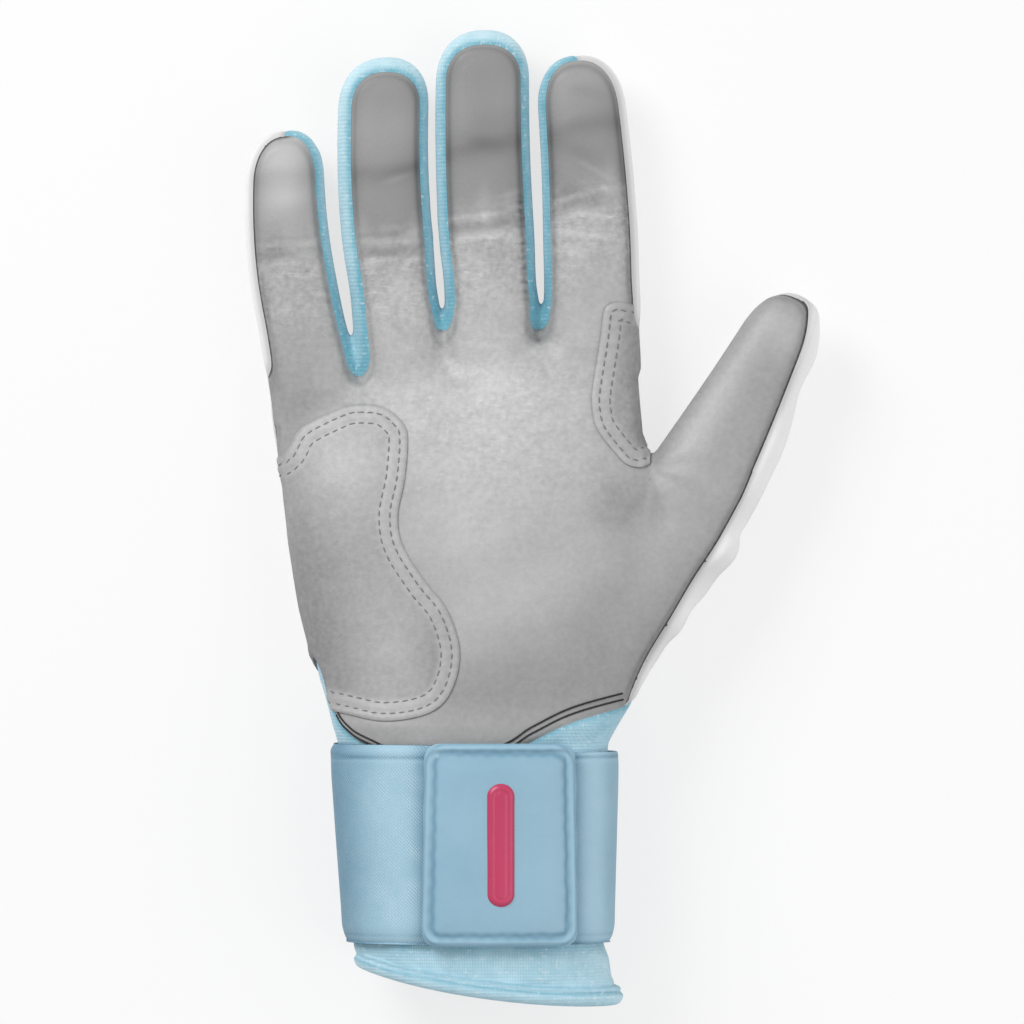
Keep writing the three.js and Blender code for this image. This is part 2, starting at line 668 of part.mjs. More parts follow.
// The outline of the tab, drawn in from its edge by a distance
function tabOutline(inset) {
  return prism(roundedRectangle(
    tabMiddle,
    strapMiddle,
    TAB_RIGHT - TAB_LEFT - inset * 2,
    STRAP_HEIGHT + TAB_OVERHANG * 2 - inset * 2,
    TAB_CORNER - inset / 2,
  ), WRIST_DEPTH / 2);
}

function tabLayer(inner, outer) {
  const from = turnAt(TAB_RIGHT + TAB_CORNER, tabInner);
  const to = turnAt(TAB_LEFT - TAB_CORNER, tabInner);
  return band(from, to, inner, outer, strapTop + TAB_CORNER, strapLow - TAB_CORNER);
}

// The tab: a moulded pad with a pressed groove inside its edge
function closureTab() {
  const groove = tabOutline(GROOVE_INSET).subtract(tabOutline(GROOVE_INSET + GROOVE_WIDTH));
  const pressed = tabLayer(tabOuter - GROOVE_DEPTH, tabOuter + GROOVE_DEPTH).intersect(groove);
  return tabLayer(tabInner, tabOuter).intersect(tabOutline(0)).subtract(pressed);
}

// A plain upright oblong, raised on the middle of the tab
function tabAccent() {
  const outline = roundedRectangle(
    tabMiddle, strapMiddle, ACCENT_WIDTH, ACCENT_LENGTH, ACCENT_WIDTH / 2,
  );
  const inner = tabOuter + SEAM_GAP;
  return tabLayer(inner, inner + ACCENT_THICKNESS).intersect(prism(outline, WRIST_DEPTH / 2));
}

// Cuff and binding

// The slanted slice round the cuff's mouth, between two distances from it
function mouthSlice(low, high) {
  const mouth = handStations[0];
  const slope = (mouth.slant * 2) / (mouth.right - mouth.left);
  const middleX = (mouth.right + mouth.left) / 2;
  const rise = (x) => mouth.y + slope * (x - middleX);
  const left = middleX - WRIST_WIDTH;
  const right = middleX + WRIST_WIDTH;
  return prism([
    new THREE.Vector2(left, rise(left) + low),
    new THREE.Vector2(right, rise(right) + low),
    new THREE.Vector2(right, rise(right) + high),
    new THREE.Vector2(left, rise(left) + high),
  ]);
}

// The rolled binding grips the edge of the cuff in a slot
function cuffBinding() {
  const outer = SEAM_GAP + BINDING_THICKNESS;
  const inner = -WALL - SEAM_GAP - BINDING_THICKNESS;
  const roll = handBlock(outer, CUT_OVERRUN).subtract(handBlock(inner, CUT_OVERRUN));
  const slot = handBlock(SEAM_GAP, SEAM_GAP).subtract(handBlock(-WALL - SEAM_GAP, CUT_OVERRUN));
  return roll.subtract(slot).intersect(mouthSlice(BINDING_GRIP - BINDING_HEIGHT, BINDING_GRIP));
}

// Materials

const finishes = {
  palmLeather: { color: 0xbcbcbc, roughness: 0.62, metalness: 0 },
  patchLeather: { color: 0xa9a9a9, roughness: 0.6, metalness: 0 },
  whiteLeather: { color: 0xdadada, roughness: 0.55, metalness: 0 },
  stretchMesh: { color: 0xb4d6e4, roughness: 0.8, metalness: 0 },
  cuffKnit: { color: 0x9cc3d5, roughness: 0.85, metalness: 0 },
  strapElastic: { color: 0x94b8cb, roughness: 0.75, metalness: 0 },
  tabVinyl: { color: 0x94b9cc, roughness: 0.5, metalness: 0 },
  fastenerNylon: { color: 0xc9d4da, roughness: 0.9, metalness: 0 },
  accentRubber: { color: 0xb73860, roughness: 0.5, metalness: 0 },
};

function panel(name, solid, finish) {
  const { vertProperties, triVerts } = mainBody(solid).getMesh();
  const geometry = new THREE.BufferGeometry();
  geometry.setAttribute("position", new THREE.BufferAttribute(vertProperties, 3));
  geometry.setIndex(new THREE.BufferAttribute(triVerts, 1));
  geometry.computeVertexNormals();
  const mesh = new THREE.Mesh(geometry, new THREE.MeshStandardMaterial(finishes[finish]));
  mesh.name = name;
  return mesh;
}

// Assembly

function handPanels() {
  const outer = handForm(0);
  const shell = outer.subtract(handForm(-WALL, CUT_OVERRUN));
  const front = frontRegion(SEAM_GAP);
  const notFront = shell.subtract(frontRegion(-SEAM_GAP)).subtract(cuffRegion(-SEAM_GAP));
  const behind = backRegion(SEAM_GAP);
  const behindWide = backRegion(-SEAM_GAP);
  const blocks = fingerOrder.slice(1).map((_, i) => crotchBlock(i));
  const meshes = blocks.map((block, i) => panel(
    `fourchette_${fingerOrder[i]}_${fingerOrder[i + 1]}`,
    notFront.intersect(block).subtract(behindWide),
    "stretchMesh",
  ));
  const backShell = notFront.subtract(unite(blocks).subtract(behind));
  const patches = handForm(SEAM_GAP + PATCH_THICKNESS)
    .subtract(handForm(SEAM_GAP))
    .intersect(halfBlock(1, SEAM_GAP));
  const patch = (shares) => patches.intersect(prism(smoothThrough(shares.map(palmPoint))));
  meshes.push(
    panel("palm_panel", shell.intersect(front), "palmLeather"),
    panel("back_of_hand", backShell.subtract(insertRegion(-SEAM_GAP)), "whiteLeather"),
    panel("knuckle_insert", backShell.intersect(insertRegion(SEAM_GAP)), "stretchMesh"),
    panel("heel_patch", patch(heelPatchShares), "patchLeather"),
    panel("index_patch", patch(indexPatchShares), "patchLeather"),
    panel("cuff", shell.intersect(cuffRegion(SEAM_GAP)), "cuffKnit"),
    panel("cuff_binding", cuffBinding(), "cuffKnit"),
  );
  return meshes;
}

function strapPieces() {
  return [
    panel("strap_anchor_band", anchorBand(), "strapElastic"),
    panel("strap_elastic", freeElastic(), "strapElastic"),
    panel("loop_patch", loopPatch(), "fastenerNylon"),
    panel("hook_patch", hookPatch(), "fastenerNylon"),
    panel("closure_tab", closureTab(), "tabVinyl"),
    panel("tab_accent", tabAccent(), "accentRubber"),
  ];
}

function digitPieces(name) {
  const digit = digits[name];
  const panels = digitPanels(digit);
  const colours = { front: "palmLeather", back: "whiteLeather", gusset: "stretchMesh" };
  return Object.entries(panels).flatMap(([part, solid]) => {
    const base = solid.intersect(baseStretch(digit));
    const tip = panel(`${name}_tip_${part}`, solid.intersect(tipStretch(digit)), colours[part]);
    if (part !== "gusset" || digit.gussets.length === 1) {
      return [panel(`${name}_base_${part}`, base, colours[part]), tip];
    }
    const sides = [["left", -1], ["right", 1]].map(([word, side]) =>
      panel(`${name}_base_gusset_${word}`, base.intersect(sideOf(digit, side, SEAM_GAP)), colours[part]));
    return [...sides, tip];
  });
}

// Where the glove bends: on the palm-side surface of each digit at its two creases
function creasePoint(digit, s) {
  return digitPoint(digit, s, 0, middleAt(digit, s) + halfDepthAt(digit, s));
}

const glove = new THREE.Group();
glove.add(...handPanels(), ...strapPieces());
Object.keys(digits).forEach((name) => glove.add(...digitPieces(name)));

const bounds = new THREE.Box3().setFromObject(glove);
const middle = bounds.getCenter(new THREE.Vector3());
glove.position.set(-middle.x, -middle.y, -bounds.min.z);
glove.userData.offset = glove.position.toArray();
glove.userData.creases = Object.fromEntries(Object.entries(digits).map(([name, digit]) => [
  name,
  [creasePoint(digit, 0).toArray(), creasePoint(digit, digit.crease).toArray()],
]));

export default glove;
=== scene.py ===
"""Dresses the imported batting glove: leather, knit, elastic and stitching round the fixed frame."""

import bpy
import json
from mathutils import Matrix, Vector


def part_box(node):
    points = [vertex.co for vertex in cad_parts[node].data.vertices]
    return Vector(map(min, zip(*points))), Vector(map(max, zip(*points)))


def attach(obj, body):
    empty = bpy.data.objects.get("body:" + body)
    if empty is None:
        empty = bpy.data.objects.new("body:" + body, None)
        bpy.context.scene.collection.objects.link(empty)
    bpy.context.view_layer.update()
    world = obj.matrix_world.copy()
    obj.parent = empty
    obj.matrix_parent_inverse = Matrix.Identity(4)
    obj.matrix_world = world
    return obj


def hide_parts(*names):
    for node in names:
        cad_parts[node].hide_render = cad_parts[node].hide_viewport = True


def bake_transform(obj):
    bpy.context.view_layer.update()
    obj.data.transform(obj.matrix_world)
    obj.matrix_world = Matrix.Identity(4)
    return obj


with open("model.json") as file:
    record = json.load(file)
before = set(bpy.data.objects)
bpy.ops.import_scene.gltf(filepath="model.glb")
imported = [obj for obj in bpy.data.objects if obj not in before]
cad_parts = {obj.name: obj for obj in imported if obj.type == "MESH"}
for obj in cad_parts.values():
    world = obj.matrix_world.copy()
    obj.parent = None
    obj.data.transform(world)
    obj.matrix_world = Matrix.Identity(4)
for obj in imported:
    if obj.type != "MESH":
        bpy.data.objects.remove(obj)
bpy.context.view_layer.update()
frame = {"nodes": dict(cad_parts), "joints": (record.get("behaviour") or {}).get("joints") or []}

import json
import logging
import math
from dataclasses import dataclass
from enum import Enum
from functools import partial
from operator import attrgetter
from typing import Callable, Iterable, Sequence

import bmesh
import bpy
import numpy as np
from mathutils import Matrix, Vector
from mathutils.bvhtree import BVHTree

MM = 0.001
# Steps round and along the hand and each digit, before they are joined
HAND_GRID = (96, 150)
DIGIT_GRID = (64, 90)
# The cells of the joined skin, and how often all of it and then the digits' roots are smoothed
VOXEL_MM = 0.75
SMOOTHINGS = 9
JOIN_SMOOTHINGS = 60
# How near a cut, as a share of a voxel, a vertex is moved onto it
PULL_SHARE = 0.2
# How far from a digit's middle line, in half widths, a place past its split may be and be its own
THUMB_REACH = 1.13
FINGER_REACH = 1.6
# The middle of the thumb's crotch in plan
THUMB_CROTCH = (47.5, 72.0)
# Where the index-side patch stops on the far side of that crotch, and up to which height it does
PATCH_END = 47.5
THUMB_TOP = 90.0
# How far up the patches reach
PATCH_TOP = 124.0
# How near a line a place may be and still count as on it, in millimetres
SLACK = 0.01
# Further than any distance from a seam
FAR = 99.0
# Half a stitch's width and height, and how far its middle is raised
STITCH_HALF = (0.24, 0.2)
STITCH_RISE = 0.05
LOG = logging.getLogger("glove")

Array = np.ndarray
Mesh = bmesh.types.BMesh
Piece = bpy.types.Object
Material = bpy.types.Material
Span = tuple[float, float]
Colour = tuple[float, float, float]
Rows = tuple[tuple[float, ...], ...]
# What gives each place on the glove a value, and what gives shares u and v a place on the glove
Level = Callable[[Array], Array]
Surface = Callable[[Array, Array], Array]


class Region(Enum):
    """The sewn panels that the glove's skin is cut into."""

    LEATHER = 0
    GUSSET = 1
    BACK = 2
    CUFF = 3
    INSERT = 4


class Stretch(Enum):
    """The stretches of a digit between its bends."""

    HAND = 0
    LOWER = 1
    UPPER = 2


def ease(values: Array) -> Array:
    """Eases values from 0 to 1."""
    t = np.clip(values, 0.0, 1.0)
    return t * t * (3.0 - 2.0 * t)


def bell(values: Array, width: float) -> Array:
    """A bell curve, 1 where the values are zero."""
    return np.exp(-((values / width) ** 2))


def spline(points: Sequence[Span], steps: int) -> Array:
    """Runs a smooth curve through points.

    Args:
        points: places in plan.
        steps: how many stretches each span gets.

    Returns:
        The curve's points, one row each.
    """
    ctrl = np.array([points[0], *points, points[-1]], dtype=float)
    t = np.linspace(0.0, 1.0, steps, endpoint=False)[:, None]
    rows = []
    for a, b, c, d in zip(ctrl, ctrl[1:], ctrl[2:], ctrl[3:]):
        rows.append(0.5 * (2 * b + (c - a) * t + (2 * a - 5 * b + 4 * c - d) * t**2
                           + (3 * b - a - 3 * c + d) * t**3))
    return np.vstack([*rows, ctrl[-1:]])


def inside_distance(places: Array, outline: Array) -> Array:
    """Distance from each place to a closed outline, positive inside it.

    Args:
        places: places in plan or on the glove, one row each.
        outline: the outline's corners in plan, one row each.

    Returns:
        One signed distance for each place.
    """
    places = places[:, :2]
    best = np.full(len(places), 1e9)
    crossings = np.zeros(len(places), dtype=int)
    for a, b in zip(outline, np.roll(outline, -1, axis=0)):
        edge = b - a
        length = max(float(edge @ edge), 1e-12)
        share = np.clip(((places - a) @ edge) / length, 0.0, 1.0)
        best = np.minimum(best, np.linalg.norm(places - a - share[:, None] * edge, axis=1))
        spans = (a[1] > places[:, 1]) != (b[1] > places[:, 1])
        if abs(edge[1]) > 1e-9:
            at = a[0] + (places[:, 1] - a[1]) * edge[0] / edge[1]
            crossings += spans & (places[:, 0] < at)
    return np.where(crossings % 2 == 1, best, -best)


def joined(a: Array, b: Array, rounding: float) -> Array:
    """The union of two areas given by their distances, its inner corners rounded."""
    near = np.maximum(rounding - np.abs(a - b), 0.0) / rounding
    return np.maximum(a, b) + near * near * rounding / 4


def signed_power(values: Array, power: float) -> Array:
    """A power of the values' sizes, with their signs kept."""
    return np.sign(values) * np.abs(values) ** power


def oval(turn: Array, squareness: float) -> tuple[Array, Array]:
    """A squared oval as shares of its half width and half depth; turn 0 is its back."""
    angle = turn * 2 * math.pi
    power = 2 / squareness
    return signed_power(np.sin(angle), power), -signed_power(np.cos(angle), power)


@dataclass(frozen=True)
class Digit:
    """One finger or the thumb: where it stands, its sizes and its seams, in millimetres."""

    name: str
    across: float
    up: float
    length: float
    tilt: float
    bow: float
    root_width: float
    end_width: float
    root_depth: float
    end_depth: float
    root_middle: float
    end_middle: float
    nose_reach: float
    crease: float
    seam_left: float
    seam_right: float
    seam_tip: float
    back_seam: float
    # The sides that have a gusset, -1 towards the little finger, and how far the fold is past the crease
    gussets: tuple[int, ...]
    fold: float
    # How far the digit goes on inside the hand, and the section's and the nose's squareness
    stub: float = 26.0
    nose_power: float = 2.3
    squareness: float = 2.5
    # How far before its root it starts to bend
    bend_lead: float = 2.0
    # The share of its grid before the nose, and the depth's nose as a share of the width's
    shaft_share: float = 0.6
    depth_nose_share: float = 0.8
    # How far below the root its seams run out, and its leather is drawn in at the stub's end
    seam_fade: float = 22.0
    stub_fade: float = 8.0
    stub_inset: float = 14.0

    @property
    def along(self) -> Array:
        """The direction from root to tip in plan."""
        return np.array([math.sin(math.radians(self.tilt)), math.cos(math.radians(self.tilt))])

    @property
    def sideways(self) -> Array:
        """The direction across the digit in plan, towards the thumb side."""
        return np.array([math.cos(math.radians(self.tilt)), -math.sin(math.radians(self.tilt))])

    def share(self, s: Array) -> Array:
        """How far along its length a distance is."""
        return np.clip(s / self.length, 0.0, 1.0)

    def between(self, root: float, end: float, s: Array) -> Array:
        """A size that runs from the root's to the end's."""
        return root + (end - root) * self.share(s)

    def drift(self, s: Array) -> Array:
        """How far the centre line bows to the side."""
        lean = -np.minimum(s, 0.0) * 0.1 * math.copysign(1.0, -self.across)
        return self.bow * np.sin(math.pi * self.share(s)) + lean

    def half_width(self, s: Array) -> Array:
        """Half the width before the nose closes it, a little slimmer just past the crotch."""
        slim = 0.3 * bell(s - 5.0, 9.0) * len(self.gussets)
        return self.between(self.root_width, self.end_width, s) / 2 - slim

    def half_depth(self, s: Array) -> Array:
        """Half the depth before the nose closes it."""
        return self.between(self.root_depth, self.end_depth, s) / 2

    def middle(self, s: Array) -> Array:
        """Height of the centre line."""
        return self.between(self.root_middle, self.end_middle, s)

    def nose(self, to_end: Array, reach: float) -> Array:
        """How full the digit is at a distance from its end."""
        share = np.clip(1 - to_end / reach, 0.0, 1.0)
        return (1 - share**self.nose_power) ** (1 / self.nose_power)

    def near(self, places: Array) -> Array:
        """Which places are on or just beside the digit's own width."""
        s, o = self.local(places)
        return np.abs(o) < self.half_width(s) + 1.5

    def place(self, s: Array, o: Array, z: Array) -> Array:
        """Turns distances along and across the digit into places on the glove."""
        root = np.array([self.across, self.up])
        plan = root + s[..., None] * self.along + (o + self.drift(s))[..., None] * self.sideways
        return np.concatenate([plan, z[..., None]], axis=-1)

    def local(self, places: Array) -> tuple[Array, Array]:
        """Turns places on the glove into distances along and across the digit."""
        offset = places[:, :2] - np.array([self.across, self.up])
        s = offset @ self.along
        return s, offset @ self.sideways - self.drift(s)

    def surface(self, u: Array, v: Array) -> Array:
        """The skin of the digit, from its root to its tip.

        Args:
            u: shares round it.
            v: shares along it.

        Returns:
            Places on the glove.
        """
        rows = np.clip((v - self.shaft_share) / (1 - self.shaft_share), 0, 1)
        swing = np.sin(rows * math.pi / 2)
        shaft = (self.length - self.nose_reach + self.stub) * np.clip(v / self.shaft_share, 0, 1) - self.stub
        s = shaft + self.nose_reach * swing
        to_end = self.length - s
        across, up = oval(u, self.squareness)
        o = across * self.half_width(s) * self.nose(to_end, self.nose_reach)
        tip = self.nose(to_end, self.nose_reach * self.depth_nose_share)
        z = self.middle(s) + up * self.half_depth(s) * tip
        return self.place(s, o, z)

    def panel_level(self, places: Array, left: Array | float, right: Array | float, tip: float) -> Array:
        """Distance inside a panel whose seams are inset from the digit's outline.

        Args:
            places: places on the glove.
            left: inset of the seam on the little finger's side.
            right: inset of the seam on the thumb's side.
            tip: inset at the end.

        Returns:
            One distance for each place.
        """
        s, o = self.local(places)
        inset = left + (right - left) * ease(o / 8 + 0.5)
        half = np.maximum(self.half_width(s) - inset, 0.5)
        reach = max(self.nose_reach - tip, 1.0)
        past = np.maximum((s - (self.length - self.nose_reach)) / reach, 0.0)
        ratio = (np.abs(o) / half) ** self.nose_power + past**self.nose_power
        return half * (1 - ratio ** (1 / self.nose_power))

    def front_level(self, places: Array) -> Array:
        """Distance inside the front panel, whose outer seams run out to the side below the crotch.

        Args:
            places: places on the glove.

        Returns:
            One distance for each place.
        """
        s, _ = self.local(places)
        fade = 1.0 if not self.gussets else ease((s + self.seam_fade) / self.seam_fade)
        left = self.seam_left * (1.0 if -1 in self.gussets else fade)
        right = self.seam_right * (1.0 if 1 in self.gussets else fade)
        return self.panel_level(places, left, right, self.seam_tip)

    def back_level(self, places: Array) -> Array:
        """Distance inside the back panel, which wraps round a side without a gusset.

        Args:
            places: places on the glove.

        Returns:
            One distance for each place.
        """
        left = self.back_seam if -1 in self.gussets else -self.root_width
        right = self.back_seam if 1 in self.gussets else -self.root_width
        tip = self.back_seam if len(self.gussets) > 1 else -self.nose_reach
        return self.panel_level(places, left, right, tip)


# Name, place, length, tilt and bow; widths, depths and heights of the middle at root and end; reach of
# the nose; crease; seams at left, right and tip; seam of the back; sides with a gusset; fold
DIGITS = (
    Digit("pinky", -45.3, 106.5, 58.8, -5.5, -2.2, 24.6, 20.4, 17.5, 14.5, 10.4, 11.4, 14.0, 26.0,
          2.0, 1.9, 1.5, 2.4, (1,), -1.5),
    Digit("ring", -21.0, 116.6, 68.1, -2.4, -1.9, 24.6, 24.4, 18.4, 15.2, 10.6, 11.8, 14.0, 18.5,
          3.5, 1.9, 4.0, 2.6, (-1, 1), -2.8),
    Digit("middle", 5.0, 118.3, 73.8, -1.8, -1.1, 26.1, 24.9, 18.8, 15.6, 10.7, 12.0, 14.0, 19.5,
          2.4, 1.9, 4.0, 2.6, (-1, 1), 1.0),
    Digit("index", 32.3, 118.3, 67.2, -3.6, 0.9, 26.8, 23.0, 18.6, 15.4, 10.7, 12.0, 15.0, 20.5,
          1.6, 1.9, 1.4, 2.4, (-1,), 5.5),
    Digit("thumb", 63.1, 70.2, 56.2, 27.8, 0.5, 31.4, 19.6, 21.0, 15.6, 15.4, 16.4, 15.0, 25.0,
          -3.0, 5.2, 1.1, -3.0, (), 3.0),
)
FINGERS = DIGITS[:4]
THUMB = DIGITS[4]


def joint_place(name: str) -> Vector:
    """Where the frame puts a joint, in metres."""
    return Vector(next(joint["pos_m"] for joint in frame["joints"] if joint["name"] == name))


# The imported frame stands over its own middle; this is how far the glove's own zero is from there
SHIFT = np.array([joint_place("middle_knuckle").x / MM - DIGITS[2].across,
                  joint_place("middle_knuckle").y / MM - DIGITS[2].up, 0.0])


def metres(places: Array) -> Array:
    """Turns places on the glove, in millimetres, into the frame's metres."""
    return (places + SHIFT) * MM


def glove_places(bm: Mesh) -> Array:
    """The vertices of a mesh as places on the glove, in millimetres."""
    return np.array([v.co[:] for v in bm.verts]) / MM - SHIFT


@dataclass(frozen=True)
class HandBlock:
    """The hand and cuff: their driving sizes and the stations between them, in millimetres."""

    palm_length: float = 104.0
    palm_width: float = 100.0
    palm_depth: float = 31.0
    cuff_length: float = 64.0
    wrist_width: float = 72.7
    wrist_depth: float = 39.8
    wrist_lift: float = 1.3
    mouth_slant: float = 5.0
    back_hem: float = 12.0
    mouth_sag: float = 2.6
    taper_left: float = 3.4
    taper_right: float = 1.2
    flat: float = 0.8
    palm_squareness: float = 2.7
    wrist_squareness: float = 2.3
    crotch_drop: float = 9.6
    notch_round: float = 6.0
    back_rise: float = 2.0
    # The stretch insert behind the knuckles: its middle, half its size, its corners and its floor
    insert_middle: Span = (-14.5, 80.0)
    insert_half: Span = (33.0, 7.2)
    insert_corner: float = 6.5
    insert_height: float = 7.5
    # Shares of the palm's length, width, width, depth, depth and width at each station
    palm_shares: Rows = (
        (0.040, -0.379, 0.392, 0.052, 1.306, 0), (0.096, -0.394, 0.428, 0.039, 1.226, 0),
        (0.177, -0.419, 0.478, 0.029, 1.145, 0), (0.260, -0.440, 0.532, 0.016, 1.081, 0),
        (0.342, -0.462, 0.602, 0.006, 1.042, 0), (0.426, -0.477, 0.676, 0.000, 1.019, 0),
        (0.509, -0.491, 0.726, -0.006, 1.000, 0), (0.587, -0.500, 0.660, -0.010, 0.968, 0),
        (0.673, -0.510, 0.520, -0.010, 0.923, 0.01), (0.740, -0.522, 0.456, -0.010, 0.871, 0.04),
        (0.846, -0.536, 0.448, -0.006, 0.774, 0.08), (0.920, -0.548, 0.449, 0.013, 0.694, 0.1),
        (0.980, -0.552, 0.450, 0.081, 0.565, 0.1),
    )
    # Shares of the cuff's length, half wrist, half wrist, wrist depth and mouth slant
    cuff_shares: Rows = (
        (1.05, -0.925, 1.10, 0.96, 1), (1, -0.925, 1.10, 0.96, 1), (0.94, -0.955, 1.07, 0.97, 0.7),
        (0.885, -0.980, 1.05, 0.98, 0.4), (0.850, -0.96, 1.0, 0.99, 0.1), (0.80, -1, 1, 1, 0),
        (0.4, -1, 1, 1, 0), (0.016, -1, 1, 1, 0),
    )
    hem_shares: Rows = (
        (-0.62, 0.31), (-0.43, 0.228), (-0.372, 0.070), (-0.330, 0.014), (-0.270, -0.018),
        (-0.200, -0.042), (-0.05, -0.05), (0.086, -0.036), (0.160, 0.0), (0.265, 0.048), (0.41, 0.086),
        (0.62, 0.13),
    )
    seam_shares: Rows = (
        (0.405, 0.06), (0.421, 0.104), (0.467, 0.208), (0.532, 0.312), (0.594, 0.415),
        (0.664, 0.519), (0.723, 0.623), (0.754, 0.693),
    )
    # How the outer seams run down from the index finger and the little finger and fade out
    right_shares: Rows = (
        (0.466, 0.800), (0.458, 0.865), (0.452, 0.930), (0.436, 1.055),
    )
    left_shares: Rows = (
        (-0.550, 0.930), (-0.544, 0.865), (-0.538, 0.790), (-0.545, 0.712),
    )
    heel_shares: Rows = (
        (-0.62, 0.735), (-0.515, 0.737), (-0.467, 0.805), (-0.373, 0.854), (-0.316, 0.870),
        (-0.238, 0.862), (-0.186, 0.818), (-0.176, 0.771), (-0.184, 0.675), (-0.202, 0.584),
        (-0.189, 0.506), (-0.130, 0.415), (-0.068, 0.338), (-0.035, 0.231), (-0.057, 0.130),
        (-0.116, 0.073), (-0.238, 0.052), (-0.365, 0.075), (-0.62, 0.12),
    )
    index_shares: Rows = (
        (0.62, 1.126), (0.446, 1.130), (0.395, 1.137), (0.366, 1.130), (0.352, 1.108), (0.343, 1.038),
        (0.321, 0.903), (0.322, 0.850), (0.337, 0.800), (0.389, 0.735), (0.416, 0.712),
        (0.450, 0.706), (0.478, 0.715), (0.52, 0.735), (0.62, 0.80),
    )

    @property
    def wrist_middle(self) -> float:
        """Height of the middle of the wrist."""
        return self.wrist_lift + self.wrist_depth / 2

    def stations(self) -> Array:
        """Rows of height, left, right, back, front, slant, squareness and floor, lowest first.

        Returns:
            One row for each station.
        """
        rows = []
        for drop, left, right, depth, slant in self.cuff_shares:
            half = depth * self.wrist_depth / 2
            rows.append((-drop * self.cuff_length, left * self.wrist_width / 2,
                         right * self.wrist_width / 2, self.wrist_middle - half,
                         self.wrist_middle + half, -slant * self.mouth_slant,
                         self.wrist_squareness, self.wrist_lift + self.flat))
        for rise, left, right, back, front, slant in self.palm_shares:
            rows.append((rise * self.palm_length, left * self.palm_width, right * self.palm_width,
                         back * self.palm_depth, front * self.palm_depth,
                         slant * self.palm_width, self.palm_squareness, 0.0))
        return np.array(rows)

    def surface(self, u: Array, v: Array) -> Array:
        """The skin of the hand, from the cuff's mouth to the crotches.

        Args:
            u: shares round it.
            v: shares along it.

        Returns:
            Places on the glove.
        """
        table = self.stations()
        at = v * (len(table) - 1)
        row = [np.interp(at, np.arange(len(table)), column) for column in table.T]
        y, left, right, back, front, slant, squareness, floor = row
        across, up = oval(u, squareness)
        x = (left + right) / 2 + across * (right - left) / 2
        z = np.maximum((back + front) / 2 + up * (front - back) / 2, floor)
        drop = np.where(y < 0, self.sag(across, up) * -slant / self.mouth_slant, 0.0)
        y = y + slant * across - drop
        return np.stack([self.tapered(x, y), y, z], axis=-1)

    def sag(self, across: Array, up: Array) -> Array:
        """How far the front of the cuff's mouth hangs below its sides."""
        return self.mouth_sag * (1 - across**2) * np.clip(up * 3, 0, 1)

    def tapered(self, x: Array, y: Array) -> Array:
        """Draws the sides of the wrist in towards the cuff's mouth."""
        share = ease(-y / 60)
        side = np.clip(np.abs(x) / 36, 0, 1) ** 2
        return x + share * side * np.where(x < 0, self.taper_left, -self.taper_right)

    def mouth(self, places: Array) -> Array:
        """Height above the cuff's mouth."""
        across = places[:, 0] / (self.wrist_width / 2)
        up = (places[:, 2] - self.wrist_middle) / (self.wrist_depth / 2)
        return places[:, 1] + self.cuff_length + self.mouth_slant * across + self.sag(across, up)

    def plan(self, shares: Sequence[Span]) -> list[Span]:
        """Turns shares of the palm's width and length into places."""
        return [(a * self.palm_width, b * self.palm_length) for a, b in shares]

    def middle(self, y: Array) -> Array:
        """Height of the seam between front and back where it runs at mid-depth."""
        table = self.stations()
        return np.interp(y, table[:, 0], (table[:, 3] + table[:, 4]) / 2)

    def crotches(self) -> list[Span]:
        """Where the leather is notched between the fingers.

        Returns:
            The middle of each notch in plan.
        """
        places = []
        for a, b in zip(FINGERS, FINGERS[1:]):
            floor = min(a.up, b.up) - self.crotch_drop
            here = [d.place(np.array(floor - d.up), np.array(side * d.root_width / 2), np.array(0.0))
                    for d, side in ((a, 1), (b, -1))]
            places.append(((here[0][0] + here[1][0]) / 2, floor))
        return places

    def palm_outline(self) -> Array:
        """The palm leather below the crotches.

        Returns:
            The outline's corners.
        """
        seam = [tuple(point) for point in spline(self.plan(self.seam_shares), 4)]
        root = THUMB.place(np.array(0.0), np.array(-THUMB.root_width / 2), np.array(0.0))
        left = FINGERS[0].across - FINGERS[0].root_width
        return np.array([
            *seam, (root[0] + self.crotch_drop, root[1]), (root[0] + 3, root[1] + 3),
            *self.plan(self.right_shares), *self.crotches()[::-1], *self.plan(self.left_shares),
            (left, self.left_shares[-1][1] * self.palm_length - 8), (left, -60.0), (seam[0][0], -60.0),
        ])

    def hem(self, places: Array) -> Array:
        """Height above the hem: the leather's curve in front, a straight line behind.

        Args:
            places: places on the glove.

        Returns:
            One distance for each place.
        """
        curve = spline(self.plan(self.hem_shares), 6)
        front = np.interp(places[:, 0], curve[:, 0], curve[:, 1])
        lift = ease((places[:, 2] - self.middle(places[:, 1])) / 10 + 0.5)
        return places[:, 1] - (self.back_hem + (front - self.back_hem) * lift)


HAND = HandBlock()


